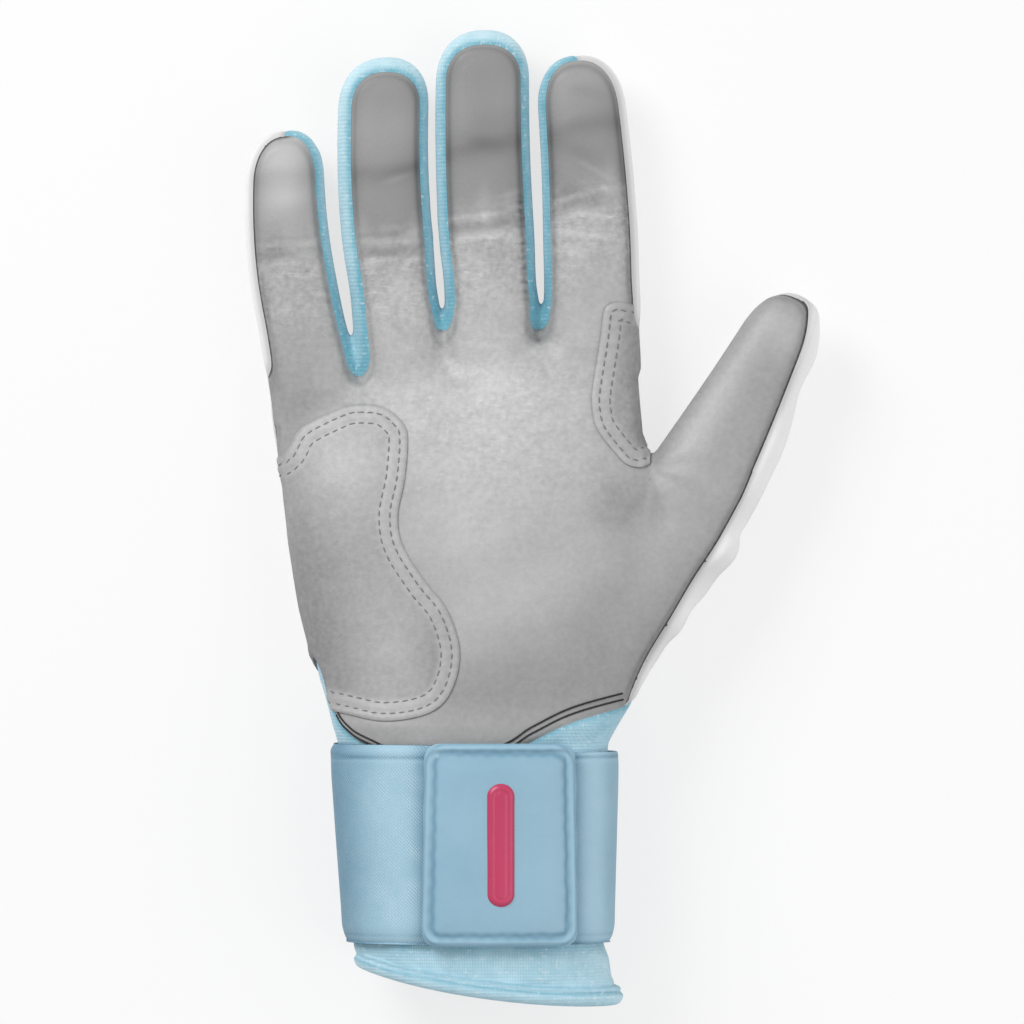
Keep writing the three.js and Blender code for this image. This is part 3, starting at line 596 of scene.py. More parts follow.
class Cutting:
    """The seams of the whole glove, as distances that any place on its skin can be asked for."""

    def __init__(self) -> None:
        """Works out the outlines once."""
        self.palm = HAND.palm_outline()
        self.notches = HAND.crotches()
        self.heel = spline(HAND.plan(HAND.heel_shares), 5)
        self.index = spline(HAND.plan(HAND.index_shares), 5)

    def owner(self, places: Array) -> Array:
        """Which digit each place is on past its lower split, or -1 on the hand.

        Args:
            places: places on the glove.

        Returns:
            One digit's number for each place.
        """
        best = np.full(len(places), -1)
        nearest = np.full(len(places), 1e9)
        for i, digit in enumerate(DIGITS):
            s, o = digit.local(places)
            off = np.abs(o) / digit.half_width(s)
            reach = THUMB_REACH if digit is THUMB else FINGER_REACH
            takes = (self.split(places, i) > 0) & (off < nearest) & (off < reach)
            best = np.where(takes, i, best)
            nearest = np.where(takes, off, nearest)
        return best

    def split(self, places: Array, i: int, upper: bool = False) -> Array:
        """Distance past the lower or the upper split of a digit.

        Args:
            places: places on the glove.
            i: the digit's number.
            upper: whether it is the upper one.

        Returns:
            One distance for each place.
        """
        digit = DIGITS[i]
        at = digit.crease / 2 if upper else -digit.bend_lead
        if digit is THUMB:
            return digit.local(places)[0] - at
        return places[:, 1] - digit.up - at

    def middle(self, places: Array) -> Array:
        """Height of the mid-depth seam at each place.

        Args:
            places: places on the glove.

        Returns:
            One height for each place.
        """
        level = HAND.middle(places[:, 1])
        for digit in DIGITS:
            s, o = digit.local(places)
            near = ease((s + 14) / 14) * (np.abs(o) < digit.half_width(s) + 3)
            level = level + (digit.middle(s) - level) * near
        return level

    def front(self, places: Array) -> Array:
        """Distance inside the palm leather, whose notches between the fingers are rounded.

        Args:
            places: places on the glove.

        Returns:
            One distance for each place.
        """
        level = inside_distance(places, self.palm)
        for digit in DIGITS:
            s, _ = digit.local(places)
            drawn_in = digit.stub_inset * ease((digit.stub_fade - digit.stub - s) / digit.stub_fade)
            mine = np.where(s > -digit.stub, digit.front_level(places) - drawn_in, -FAR)
            level = joined(level, mine, HAND.notch_round if digit.gussets else 0.5)
        return np.minimum(level, places[:, 2] - self.middle(places))

    def back(self, places: Array) -> Array:
        """Distance inside the back panels, whose notches between the fingers are rounded.

        Args:
            places: places on the glove.

        Returns:
            One distance for each place.
        """
        level = np.full(len(places), FAR)
        for (a, b), (_, floor) in zip(zip(FINGERS, FINGERS[1:]), self.notches):
            between = (places[:, 0] > a.across) & (places[:, 0] < b.across)
            level = np.where(between, floor + HAND.back_rise - places[:, 1], level)
        for digit in FINGERS:
            s, _ = digit.local(places)
            mine = np.where(s > -digit.stub, digit.back_level(places), -FAR)
            level = joined(level, mine, HAND.notch_round)
        return level

    def gusset(self, places: Array) -> Array:
        """Distance inside the stretch gussets, given that a place isn't on the leather.

        Args:
            places: places on the glove.

        Returns:
            One distance for each place.
        """
        owner = self.owner(places)
        gate = np.full(len(places), -FAR)
        for (a, b), (_, floor) in zip(zip(FINGERS, FINGERS[1:]), self.notches):
            inside = np.minimum(places[:, 0] - a.across, b.across - places[:, 0])
            gate = np.maximum(gate, np.minimum(inside, places[:, 1] - floor + 4))
        for i, digit in enumerate(DIGITS):
            _, o = digit.local(places)
            side = {(1,): o, (-1,): -o, (-1, 1): np.full_like(o, FAR), (): np.full_like(o, -FAR)}
            gate = np.where(owner == i, side[digit.gussets], gate)
        behind = np.minimum(self.back(places), self.middle(places) - places[:, 2])
        return np.minimum(gate, -behind)

    def insert(self, places: Array) -> Array:
        """Distance inside the stretch insert behind the knuckles.

        Args:
            places: places on the glove.

        Returns:
            One distance for each place.
        """
        corner = HAND.insert_corner
        x, y = (np.abs(places[:, axis] - HAND.insert_middle[axis]) - (HAND.insert_half[axis] - corner)
                for axis in (0, 1))
        level = corner - np.hypot(np.maximum(x, 0), np.maximum(y, 0)) - np.minimum(np.maximum(x, y), 0)
        return np.minimum(level, HAND.insert_height - places[:, 2])


CUT = Cutting()


def above_hem(places: Array) -> Array:
    """Which places are above the leather's hem."""
    return HAND.hem(places) > -SLACK


def off_leather(places: Array) -> Array:
    """Which places are above the hem and not on the palm leather."""
    return above_hem(places) & (CUT.front(places) < SLACK)


def on_palm(places: Array) -> Array:
    """Which places are on the palm leather, as far up as the patches reach."""
    return (CUT.front(places) > -SLACK) & (places[:, 1] < PATCH_TOP)


def past_patch_end(places: Array) -> Array:
    """Distance past the place where the index-side patch stops."""
    return places[:, 0] - PATCH_END


def by_thumb(places: Array) -> Array:
    """Which places on the palm leather are low enough to be by the thumb's crotch."""
    return on_palm(places) & (places[:, 1] < THUMB_TOP)


# Skin

def new_object(name: str, bm: Mesh) -> Piece:
    """Makes an object of a mesh, shaded smooth, with its open edges kept crisp.

    Args:
        name: the piece's name.
        bm: its mesh, which is freed.

    Returns:
        The object.
    """
    for face in bm.faces:
        face.smooth = True
    for edge in bm.edges:
        edge.smooth = not edge.is_boundary
    mesh = bpy.data.meshes.new(name)
    bm.to_mesh(mesh)
    bm.free()
    made = bpy.data.objects.new(name, mesh)
    bpy.context.scene.collection.objects.link(made)
    return made


def vertex_places(obj: Piece) -> Array:
    """The vertices of an object as places on the glove, in millimetres."""
    flat = np.empty(len(obj.data.vertices) * 3)
    obj.data.vertices.foreach_get("co", flat)
    return flat.reshape(-1, 3) / MM - SHIFT


def modified(obj: Piece) -> Mesh:
    """Takes the mesh that an object's modifiers make of it, and removes the object.

    Args:
        obj: the object.

    Returns:
        Its mesh with the modifiers in it.
    """
    graph = bpy.context.evaluated_depsgraph_get()
    bm = bmesh.new()
    bm.from_object(obj, graph)
    bpy.data.objects.remove(obj)
    return bm


def shaped(bm: Mesh, columns: int, rows: int, shape: Surface) -> list[bmesh.types.BMVert]:
    """Adds a grid and lays it on a surface.

    Args:
        bm: the mesh that it is added to.
        columns: its steps along u.
        rows: its steps along v.
        shape: turns u and v, both from 0 to 1, into places on the glove.

    Returns:
        The new vertices.
    """
    made = bmesh.ops.create_grid(bm, x_segments=columns, y_segments=rows, size=0.5)["verts"]
    flat = np.array([v.co[:2] for v in made]) + 0.5
    for vert, place in zip(made, metres(shape(flat[:, 0], flat[:, 1]))):
        vert.co = place
    return made


def closed_tube(bm: Mesh, columns: int, rows: int, shape: Surface) -> None:
    """Adds a tube whose two u edges meet, and closes its ends.

    Args:
        bm: the mesh that it is added to.
        columns: its steps along u.
        rows: its steps along v.
        shape: the surface that it lies on.
    """
    made = shaped(bm, columns, rows, shape)
    bmesh.ops.remove_doubles(bm, verts=made, dist=1e-6)
    rims = [edge for edge in bm.edges if edge.is_boundary]
    bmesh.ops.holes_fill(bm, edges=rims, sides=0)
    bmesh.ops.recalc_face_normals(bm, faces=bm.faces)


def tube_piece(name: str, columns: int, rows: int, shape: Surface) -> Piece:
    """Makes a piece of one closed tube."""
    bm = bmesh.new()
    closed_tube(bm, columns, rows, shape)
    return new_object(name, bm)


def sheet_piece(name: str, columns: int, rows: int, shape: Surface, wall: float) -> Piece:
    """Makes a piece of one sheet, with a wall on its inner side.

    Args:
        name: the piece's name.
        columns: its steps along u.
        rows: its steps along v.
        shape: the surface that it lies on.
        wall: its thickness in millimetres.

    Returns:
        The piece.
    """
    bm = bmesh.new()
    shaped(bm, columns, rows, shape)
    bmesh.ops.recalc_face_normals(bm, faces=bm.faces)
    piece = new_object(name, bm)
    give_wall(piece, wall)
    return piece


# Height of the deep fold's crests and dips: how far past it, how high and how wide
FOLD_CRESTS = ((2.6, 0.24, 0.8), (4.1, -0.16, 0.7), (5.4, 0.16, 0.8), (-2.6, 0.22, 0.8),
               (-4.2, -0.14, 0.8), (-5.8, 0.14, 0.9), (21.0, -0.12, 1.6), (23.5, 0.10, 1.4))


def fold_line(digit: Digit, i: int, p: Array) -> tuple[Array, Array]:
    """How far places are past the deepest fold of a digit, and which of them are on it.

    Args:
        digit: the digit.
        i: the digit's number.
        p: places on the glove.

    Returns:
        One distance, and whether it counts, for each place.
    """
    s, o = digit.local(p)
    wave = 0.7 * np.sin(0.22 * o + 1.3 * i) + 0.12 * np.sin(0.8 * o + 2.3 * i) - 0.09 * o
    inside = (np.abs(o) < digit.half_width(s) + 1.5) & (s > -12)
    return s - digit.crease - digit.fold + wave, inside


class Skin:
    """The glove's whole outer skin, made as one smooth form and then cut into its panels."""

    def __init__(self) -> None:
        """Grows the form, snaps its vertices to the seams and works in the sewn relief."""
        self.mesh = self.grown()
        self.cut_all()
        self.places = glove_places(self.mesh)
        self.mesh.normal_update()
        self.normals = np.array([v.normal[:] for v in self.mesh.verts])
        self.centres = np.array([face.calc_center_median()[:] for face in self.mesh.faces]) / MM - SHIFT
        self.regions = self.sorted_faces()
        self.relieve()

    def grown(self) -> Mesh:
        """Joins the hand and the digits into one evenly meshed form.

        Returns:
            The form, not cut yet.
        """
        bm = bmesh.new()
        closed_tube(bm, *HAND_GRID, HAND.surface)
        for digit in DIGITS:
            closed_tube(bm, *DIGIT_GRID, digit.surface)
        form = new_object("form", bm)
        remesh = form.modifiers.new("even", "REMESH")
        remesh.mode = "VOXEL"
        remesh.voxel_size = VOXEL_MM * MM
        relax = form.modifiers.new("relax", "SMOOTH")
        relax.factor = 0.5
        relax.iterations = SMOOTHINGS
        even = new_object("even", modified(form))
        self.soften(even)
        return modified(even)

    def soften(self, obj: Piece) -> None:
        """Blends the fingers and the thumb into the palm where they meet it.

        Args:
            obj: the object.
        """
        places = vertex_places(obj)
        weight = np.zeros(len(places))
        for digit in DIGITS:
            s, o = digit.local(places)
            near = bell(s + 16, 13.0) * (np.abs(o) < digit.half_width(s) + 8)
            weight = np.maximum(weight, near)
        group = obj.vertex_groups.new(name="joins")
        for step in range(1, 11):
            picked = np.nonzero(np.round(weight * 10) == step)[0]
            group.add([int(i) for i in picked], step / 10, "REPLACE")
        blend = obj.modifiers.new("blend", "SMOOTH")
        blend.factor = 0.5
        blend.iterations = JOIN_SMOOTHINGS
        blend.vertex_group = "joins"

    def cut_line(self, level: Level, offset: float, where: Level | None) -> None:
        """Cuts the mesh along one line, and first pulls the nearest vertices onto it.

        Args:
            level: distance from the seam of any places.
            offset: the distance that the line is cut at.
            where: true for places that may be cut.
        """
        def line(places: Array) -> Array:
            """Distance from the line."""
            return level(places) - offset

        places = glove_places(self.mesh)
        value = line(places)
        free = np.ones(len(places), dtype=bool) if where is None else where(places)
        self.pull(line, places, value, free)
        verts = list(self.mesh.verts)
        edges = list(self.mesh.edges)
        ends = np.array([(edge.verts[0].index, edge.verts[1].index) for edge in edges])
        a, b = value[ends[:, 0]], value[ends[:, 1]]
        crossing = np.nonzero((a * b < 0) & free[ends[:, 0]] & free[ends[:, 1]])[0]
        zero = {verts[int(i)] for i in np.nonzero((value == 0) & free)[0]}
        for i in crossing:
            edge = edges[int(i)]
            share = float(a[i] / (a[i] - b[i]))
            _, made = bmesh.utils.edge_split(edge, edge.verts[0], share)
            made[self.held] = 1
            zero.add(made)
        touched = {face for vert in zero for face in vert.link_faces}
        for face in sorted(touched, key=attrgetter("index")):
            ring = [vert for vert in face.verts if vert in zero]
            if len(ring) < 2:
                continue
            first = ring[0]
            for other in ring[1:]:
                if not any(other in edge.verts for edge in first.link_edges):
                    bmesh.utils.face_split(face, first, other)
                    break
        self.mesh.verts.index_update()
        self.mesh.edges.index_update()
        self.mesh.faces.index_update()

    def pull(self, level: Level, places: Array, value: Array, free: Array) -> None:
        """Moves vertices that are nearly on a line onto it, along the skin.

        Args:
            level: distance from the line of any places.
            places: where the vertices are; changed as they move.
            value: their distances; those that are moved become zero.
            free: which of them the line concerns.
        """
        picked = np.nonzero((np.abs(value) < VOXEL_MM * PULL_SHARE) & free)[0]
        if not len(picked):
            return
        near = places[picked]
        here = value[picked]
        step = 0.05
        slope = np.stack([
            (level(near + np.eye(3)[axis] * step) - here) / step for axis in range(3)
        ], axis=1)
        verts = list(self.mesh.verts)
        normals = np.array([verts[int(i)].normal[:] for i in picked])
        slope -= normals * np.sum(slope * normals, axis=1, keepdims=True)
        size = np.maximum(np.sum(slope**2, axis=1, keepdims=True), 0.3)
        moved = near - slope * here[:, None] / size
        for i, place, target in zip(picked, moved, metres(moved)):
            vert = verts[int(i)]
            if not vert[self.held]:
                vert.co = target
                vert[self.held] = 1
                places[i] = place
        value[picked] = 0.0

    def cut_all(self) -> None:
        """Cuts the mesh along and beside every seam, patch and split."""
        self.held = self.mesh.verts.layers.int.new("held")
        self.mesh.normal_update()
        splits = [(partial(CUT.split, i=i, upper=upper), (0.0,), digit.near)
                  for i, digit in enumerate(DIGITS) for upper in (False, True)]
        for level, offsets, where in (
            (HAND.mouth, (0.0,), None),
            (HAND.hem, (0.0, 0.4), None),
            (CUT.front, (0.0, 0.28, 0.85, -0.4), above_hem),
            (CUT.gusset, (0.0, 0.35), off_leather),
            (CUT.insert, (0.0,), off_leather),
            (partial(inside_distance, outline=CUT.heel), (0.0, 0.5), on_palm),
            (partial(inside_distance, outline=CUT.index), (0.0, 0.5), on_palm),
            (past_patch_end, (0.0,), by_thumb),
            *splits,
        ):
            for offset in offsets:
                self.cut_line(level, offset, where)

    def sorted_faces(self) -> Array:
        """Gives each face its panel, its digit and its stretch, as one row each.

        Returns:
            Panel, digit and stretch of each face.
        """
        middles = self.centres
        region = np.full(len(middles), Region.BACK.value)
        region[CUT.insert(middles) > 0] = Region.INSERT.value
        region[CUT.gusset(middles) > 0] = Region.GUSSET.value
        region[CUT.front(middles) > 0] = Region.LEATHER.value
        region[HAND.hem(middles) < 0] = Region.CUFF.value
        owner = CUT.owner(middles)
        stretch = np.zeros(len(middles), dtype=int)
        for i in range(len(DIGITS)):
            upper = CUT.split(middles, i, True) > 0
            stretch[owner == i] = np.where(upper, Stretch.UPPER.value, Stretch.LOWER.value)[owner == i]
        owner[region == Region.CUFF.value] = -1
        stretch[owner == -1] = Stretch.HAND.value
        return np.stack([region, owner, stretch], axis=1)

    def relieve(self) -> None:
        """Moves the skin in and out for seams, puffed knit, creases and folds."""
        p = self.places
        front = CUT.front(p)
        gusset = CUT.gusset(p)
        hem = HAND.hem(p)
        above = hem > -0.1
        lift = np.zeros(len(p))
        seam = -0.42 * bell(front, 0.8) + 0.24 * bell(front - 1.9, 1.0)
        lift += np.where(above, seam, 0.0)
        behind = above & (front < 0)
        lift += np.where(behind, -0.38 * bell(gusset, 0.7) + 0.16 * bell(gusset - 1.6, 0.9), 0.0)
        lift += np.where(behind, -0.3 * bell(CUT.insert(p), 0.7), 0.0)
        lift += -0.4 * bell(hem, 0.8) + 0.25 * bell(hem - 1.6, 0.9)
        lift += self.creases(p, front)
        lift -= np.where(front > 0, puckers(p), 0.0)
        lift += sum(wrinkle.at(p) for wrinkle in WRINKLES) * ease(front / 4)
        lift += self.folds(p)
        self.places = p + self.normals * lift[:, None]
        for vert, place in zip(self.mesh.verts, metres(self.places)):
            vert.co = place
        self.mesh.normal_update()

    def creases(self, p: Array, front: Array) -> Array:
        """The creases that flexing has pressed across each digit's leather.

        Args:
            p: places on the glove.
            front: their distances inside the leather.

        Returns:
            How far out each place moves.
        """
        lift = np.zeros(len(p))
        for i, digit in enumerate(DIGITS):
            away, inside = fold_line(digit, i, p)
            fade = ease(front / 5) * inside * (0.25 if digit is THUMB else 1.0)
            lift -= fade * 0.34 * bell(away, 1.5) * (0.75 + 0.25 * np.sin(0.4 * p[:, 0] + 2 * i))
            for k, (offset, height, width) in enumerate(FOLD_CRESTS):
                ragged = 0.7 * np.sin(0.7 * p[:, 0] + 3.1 * k + i) + 0.3 * np.sin(1.7 * p[:, 0] + k)
                level = 0.6 + 0.4 * np.sin(0.55 * p[:, 0] + 1.7 * k + 2 * i)
                lift += fade * height * level * bell(away - offset + 0.35 * ragged, width)
        return lift

    def folds(self, p: Array) -> Array:
        """Soft folds at the crotches, at the thumb's root and along the loose cuff.

        Args:
            p: places on the glove.

        Returns:
            How far out each place moves.
        """
        lift = np.zeros(len(p))
        front = ease((p[:, 2] - CUT.middle(p)) / 4)
        for k, (x, y) in enumerate(CUT.notches):
            for turn in (-0.9, -0.35, 0.3, 0.85):
                dx, dy = p[:, 0] - x, p[:, 1] - y + 2
                away = np.hypot(dx, dy)
                line = dx * math.cos(turn) - (-dy) * math.sin(turn)
                reach = ease((away - 1.5) / 3) * (1 - ease((away - 5) / 6))
                lift -= 0.16 * front * reach * bell(line + 0.3 * np.sin(away + k), 0.8) * (dy < 1)
        dx, dy = p[:, 0] - THUMB_CROTCH[0], p[:, 1] - THUMB_CROTCH[1]
        away = np.hypot(dx, dy)
        turn = np.arctan2(dy, dx)
        ripple = np.sin(9 * turn + 0.25 * away)
        lift += 0.17 * front * ripple * bell(away - 9, 6.0) * ease(away / 4)
        outer = ease((p[:, 0] - 36) / 8) * ease((70 - p[:, 1]) / 20)
        slack = np.sin(0.26 * p[:, 1] + 0.5) + 0.5 * np.sin(0.52 * p[:, 1] + 0.2 * p[:, 0])
        lift += 0.55 * outer * slack * ease((p[:, 1] - 16) / 12) * ease(-CUT.front(p) / 3)
        s, o = THUMB.local(p)
        side = ease(-CUT.front(p) / 2) * ease((o - 5) / 4) * (np.abs(o) < 16)
        lift -= side * (1.5 * bell(s - 34, 8.0) - 0.4 * bell(s - 16, 7.0) + 0.7 * ease((s - 40) / 8))
        loose = (p[:, 1] < -50) & (p[:, 1] > -64)
        lift += 0.35 * loose * np.sin(p[:, 0] * 0.33 + p[:, 2] * 0.21) * ease((-50 - p[:, 1]) / 6)
        return lift

    def panel(self, name: str, pick: Array, wall: float) -> Piece:
        """Cuts one panel out of the skin and gives it a wall.

        Args:
            name: the piece's name.
            pick: true for each face that it takes.
            wall: its thickness in millimetres.

        Returns:
            The new piece.
        """
        piece = new_object(name, self.cut_out(pick))
        give_wall(piece, wall)
        return piece

    def cut_out(self, pick: Array) -> Mesh:
        """A copy of the picked faces on their own.

        Args:
            pick: true for each face that it takes.

        Returns:
            Their mesh.
        """
        bm = self.mesh.copy()
        bm.faces.ensure_lookup_table()
        rest = [bm.faces[int(i)] for i in np.nonzero(~pick)[0]]
        bmesh.ops.delete(bm, geom=rest, context="FACES")
        return bm


def give_wall(piece: Piece, wall: float) -> None:
    """Thickens a sheet inwards, with its rim closed."""
    solid = piece.modifiers.new("wall", "SOLIDIFY")
    solid.thickness = wall * MM
    solid.offset = -1.0


def set_tone(piece: Piece, tone: Level, name: str) -> None:
    """Stores, at each vertex of a piece, its painted light and shade, or its wear and painted highlight, for
    its material to read.
    """
    layer = piece.data.attributes.new(name, "FLOAT", "POINT")
    layer.data.foreach_set("value", tone(vertex_places(piece)).astype(np.float32))


# Materials

class Socket:
    """A value in a material, on which Python's operators add the Math nodes."""

    def __init__(self, bench: "Bench", socket: bpy.types.NodeSocket) -> None:
        """Wraps an output socket."""
        self.bench = bench
        self.socket = socket

    def _math(self, operation: str, *values: "Socket | float") -> "Socket":
        """Adds one Math node."""
        return self.bench.node("ShaderNodeMath", {"operation": operation}, dict(enumerate(values)))

    def __add__(self, other: "Socket | float") -> "Socket":
        """The sum."""
        return self._math("ADD", self, other)

    __radd__ = __add__

    def __mul__(self, other: "Socket | float") -> "Socket":
        """The product."""
        return self._math("MULTIPLY", self, other)

    __rmul__ = __mul__

    def __sub__(self, other: "Socket | float") -> "Socket":
        """The difference."""
        return self._math("SUBTRACT", self, other)

    def __rsub__(self, other: "Socket | float") -> "Socket":
        """The difference from a number."""
        return self._math("SUBTRACT", other, self)

    def sin(self) -> "Socket":
        """The sine."""
        return self._math("SINE", self)

    def sign(self) -> "Socket":
        """Minus one, nought or one."""
        return self._math("SIGN", self)


class Bench:
    """Where a material is built: it adds nodes and joins their sockets."""

    def __init__(self, name: str) -> None:
        """Starts an empty material with one shader.

        Args:
            name: the material's name.
        """
        self.material = bpy.data.materials.new(name)
        self.material.use_nodes = True
        self.tree = self.material.node_tree
        self.shader = self.tree.nodes["Principled BSDF"]

    def node(self, kind: str, settings: dict, inputs: dict, output: int | str = 0) -> Socket:
        """Adds a node.

        Args:
            kind: the node's type.
            settings: its properties, set first.
            inputs: values or links of its sockets.
            output: which output is given back.

        Returns:
            The output, wrapped.
        """
        made = self.tree.nodes.new(kind)
        for key, value in settings.items():
            setattr(made, key, value)
        self.join(made, inputs)
        return Socket(self, made.outputs[output])

    def join(self, made: bpy.types.Node, inputs: dict) -> None:
        """Sets or links a node's inputs.

        Args:
            made: the node.
            inputs: values or links of its sockets.
        """
        for key, value in inputs.items():
            if isinstance(value, Socket):
                self.tree.links.new(value.socket, made.inputs[key])
            else:
                made.inputs[key].default_value = value

    def place(self) -> Socket:
        """The place on the object."""
        return self.node("ShaderNodeTexCoord", {}, {}, "Object")

    def axis(self, name: str) -> Socket:
        """One coordinate of the place, in metres."""
        return self.node("ShaderNodeSeparateXYZ", {}, {0: self.place()}, name)

    def noise(self, scale: float, detail: float = 3.0, stretch: Sequence[float] = (1, 1, 1)) -> Socket:
        """A soft noise about 0.5, with cells of 1/scale metres."""
        where = self.node("ShaderNodeMapping", {}, {"Vector": self.place(), "Scale": stretch})
        return self.node("ShaderNodeTexNoise", {}, {"Vector": where, "Scale": scale, "Detail": detail})

    def cells(self, scale: float) -> Socket:
        """Distance to the nearest of scattered points, as in pebbled leather."""
        return self.node("ShaderNodeTexVoronoi", {}, {"Vector": self.place(), "Scale": scale})

    def stored(self, name: str = "tone") -> Socket:
        """A value that the piece stores at each of its vertices."""
        return self.node("ShaderNodeAttribute", {"attribute_name": name}, {}, "Fac")

    def ramp(self, value: Socket, low: float, high: float) -> Socket:
        """Runs from 0 to 1 as a value goes from low to high."""
        return self.node("ShaderNodeMapRange", {"interpolation_type": "SMOOTHSTEP"},
                         {0: value, 1: low, 2: high})

    def shade(self, colour: Sequence[float], factor: Socket) -> Socket:
        """A colour made lighter or darker."""
        return self.node("ShaderNodeVectorMath", {"operation": "SCALE"}, {0: colour, "Scale": factor})

    def blend(self, a: Sequence[float] | Socket, b: Sequence[float] | Socket, factor: Socket) -> Socket:
        """A colour between two."""
        a, b = (colour if isinstance(colour, Socket) else (*colour, 1.0) for colour in (a, b))
        return self.node("ShaderNodeMix", {"data_type": "RGBA"}, {0: factor, 6: a, 7: b}, 2)

    def finish(self, colour: Socket, roughness: Socket | float, height: Socket, depth: float,
               strength: float = 1.0, sheen: float = 0.0) -> Material:
        """Joins the surface to the shader.

        Args:
            colour: the base colour.
            roughness: a value or a link.
            height: relief from 0 to 1.
            depth: how many metres a height of 1 is.
            strength: how much of the relief shows.
            sheen: the soft light that cloth gives back.

        Returns:
            The material.
        """
        bump = self.node("ShaderNodeBump", {}, {"Strength": strength, "Distance": depth, "Height": height})
        self.join(self.shader, {"Base Color": colour, "Normal": bump, "Roughness": roughness,
                                "Sheen Weight": sheen})
        return self.material


def linear(red: int, green: int, blue: int) -> Colour:
    """Turns a colour as the eye reads it on screen into the renderer's own values."""
    return tuple((c / 255 / 12.92 if c <= 10 else ((c / 255 + 0.055) / 1.055) ** 2.4)
                 for c in (red, green, blue))


@dataclass(frozen=True)
class LeatherFinish:
    """Fine-grained leather whose tone varies over the hide, shaded by its stored painted light and shade, and
    whose pale wrinkles are partly wear and partly painted highlight.
    """

    name: str
    colour: Colour
    roughness: float = 0.5
    cloud: float = 0.08
    grain: float = 1100.0
    relief: float = 0.00010

    def build(self) -> Material:
        """Makes the material.

        Returns:
            The material.
        """
        bench = Bench(self.name)
        pebble = bench.cells(self.grain)
        fine = bench.noise(self.grain * 1.6, 2.0)
        cloud = bench.noise(45.0, 4.0)
        mottle = bench.noise(640.0, 4.0)
        patchy = bench.noise(190.0, 3.0)
        streak = bench.ramp(bench.noise(900.0, 3.0, (0.35, 1.5, 1)), 0.52, 0.72)
        worn = bench.stored("worn")
        # The stored tone is painted light and shade; the pale streaks on creased, lit places are painted
        # highlights over the hide's real mottling
        factor = bench.stored() * (1 + (cloud - 0.5) * self.cloud * 2 + (fine - 0.5) * 0.10)
        factor = factor + worn * (worn * streak * 0.18 + (mottle - 0.5) * 0.72 + (patchy - 0.5) * 0.34)
        colour = bench.shade(self.colour, factor)
        rough = self.roughness + (cloud - 0.5) * 0.14 - worn * streak * 0.10
        height = pebble * 0.5 + fine * 0.3 + worn * (worn * streak * 0.8 + mottle)
        return bench.finish(colour, rough, height, self.relief, 0.7)


@dataclass(frozen=True)
class PlainLeatherFinish:
    """Smooth coated leather, blended to grey by painted shade where it folds and beside its seams."""

    name: str
    pale: Colour
    deep: Colour
    roughness: float = 0.42

    def build(self) -> Material:
        """Makes the material.

        Returns:
            The material.
        """
        bench = Bench(self.name)
        pebble = bench.cells(1700.0)
        cloud = bench.noise(60.0, 3.0)
        # The stored tone blends the white towards grey as painted shade
        colour = bench.blend(self.deep, self.pale, bench.stored() + (cloud - 0.5) * 0.12)
        return bench.finish(colour, self.roughness + (cloud - 0.5) * 0.12, pebble, 0.00005, 0.5)


@dataclass(frozen=True)
class KnitFinish:
    """A stretch knit: rows of small loops, some of them catching the light."""

    name: str
    pale: Colour
    deep: Colour
    loops_per_mm: float = 1.2
    relief: float = 0.00016

    def build(self) -> Material:
        """Makes the material.

        Returns:
            The material.
        """
        bench = Bench(self.name)
        turn = 2 * math.pi * self.loops_per_mm / MM
        x, y, z = (bench.axis(name) for name in "XYZ")
        wale = ((x + z * 0.8) * turn).sin()
        course = (y * (turn * 0.8) + wale * 0.8).sin()
        loop = (wale * 0.5 + 0.5) * 0.45 + (course * 0.5 + 0.5) * 0.55
        mottle = bench.noise(330.0, 3.0)
        glint = bench.ramp(bench.noise(700.0, 2.0), 0.56, 0.70) * loop
        # The stored tone is painted shade between the knit's lit and shaded colours; the glints are painted
        # highlights
        share = bench.stored() * 0.9 + (loop - 0.5) * 0.12 + (mottle - 0.5) * 0.5
        colour = bench.blend(bench.blend(self.deep, self.pale, share), (0.86, 0.93, 0.95), glint * 0.45)
        return bench.finish(colour, 0.75, loop + glint * 0.4, self.relief, 0.7, 0.2)


@dataclass(frozen=True)
class ElasticFinish:
    """Woven elastic: a fine diagonal twill, with painted highlights as pale flecks on its weave."""

    name: str
    pale: Colour
    deep: Colour
    ribs_per_mm: float = 1.6
    relief: float = 0.00009

    def build(self) -> Material:
        """Makes the material.

        Returns:
            The material.
        """
        bench = Bench(self.name)
        turn = 2 * math.pi * self.ribs_per_mm / MM
        x, y, z = (bench.axis(name) for name in "XYZ")
        wobble = bench.noise(300.0, 2.0)
        around = x - z * 0.6 * x.sign()
        twill = ((around * 0.75 - y * 0.65) * turn + wobble * 2.0).sin() * 0.5 + 0.5
        thread = ((around * 0.65 + y * 0.75) * (turn * 0.85) + wobble * 3.0).sin() * 0.5 + 0.5
        knot = twill * thread
        cloud = bench.noise(70.0, 3.0)
        # The flecks are painted highlights on the weave, shown where the stored highlight mask is high; the
        # stored tone is painted shade between lit and shaded blue
        weave_glint = bench.ramp(knot + (bench.noise(170.0, 3.0) - 0.5) * 1.8, 0.62, 0.9)
        share = bench.stored() + (knot - 0.4) * 0.11 + (cloud - 0.5) * 0.35
        colour = bench.blend(bench.blend(self.deep, self.pale, share), (0.78, 0.88, 0.92),
                             weave_glint * bench.stored("worn") * 0.6)
        return bench.finish(colour, 0.62, twill * 0.5 + knot, self.relief, 0.6, 0.1)


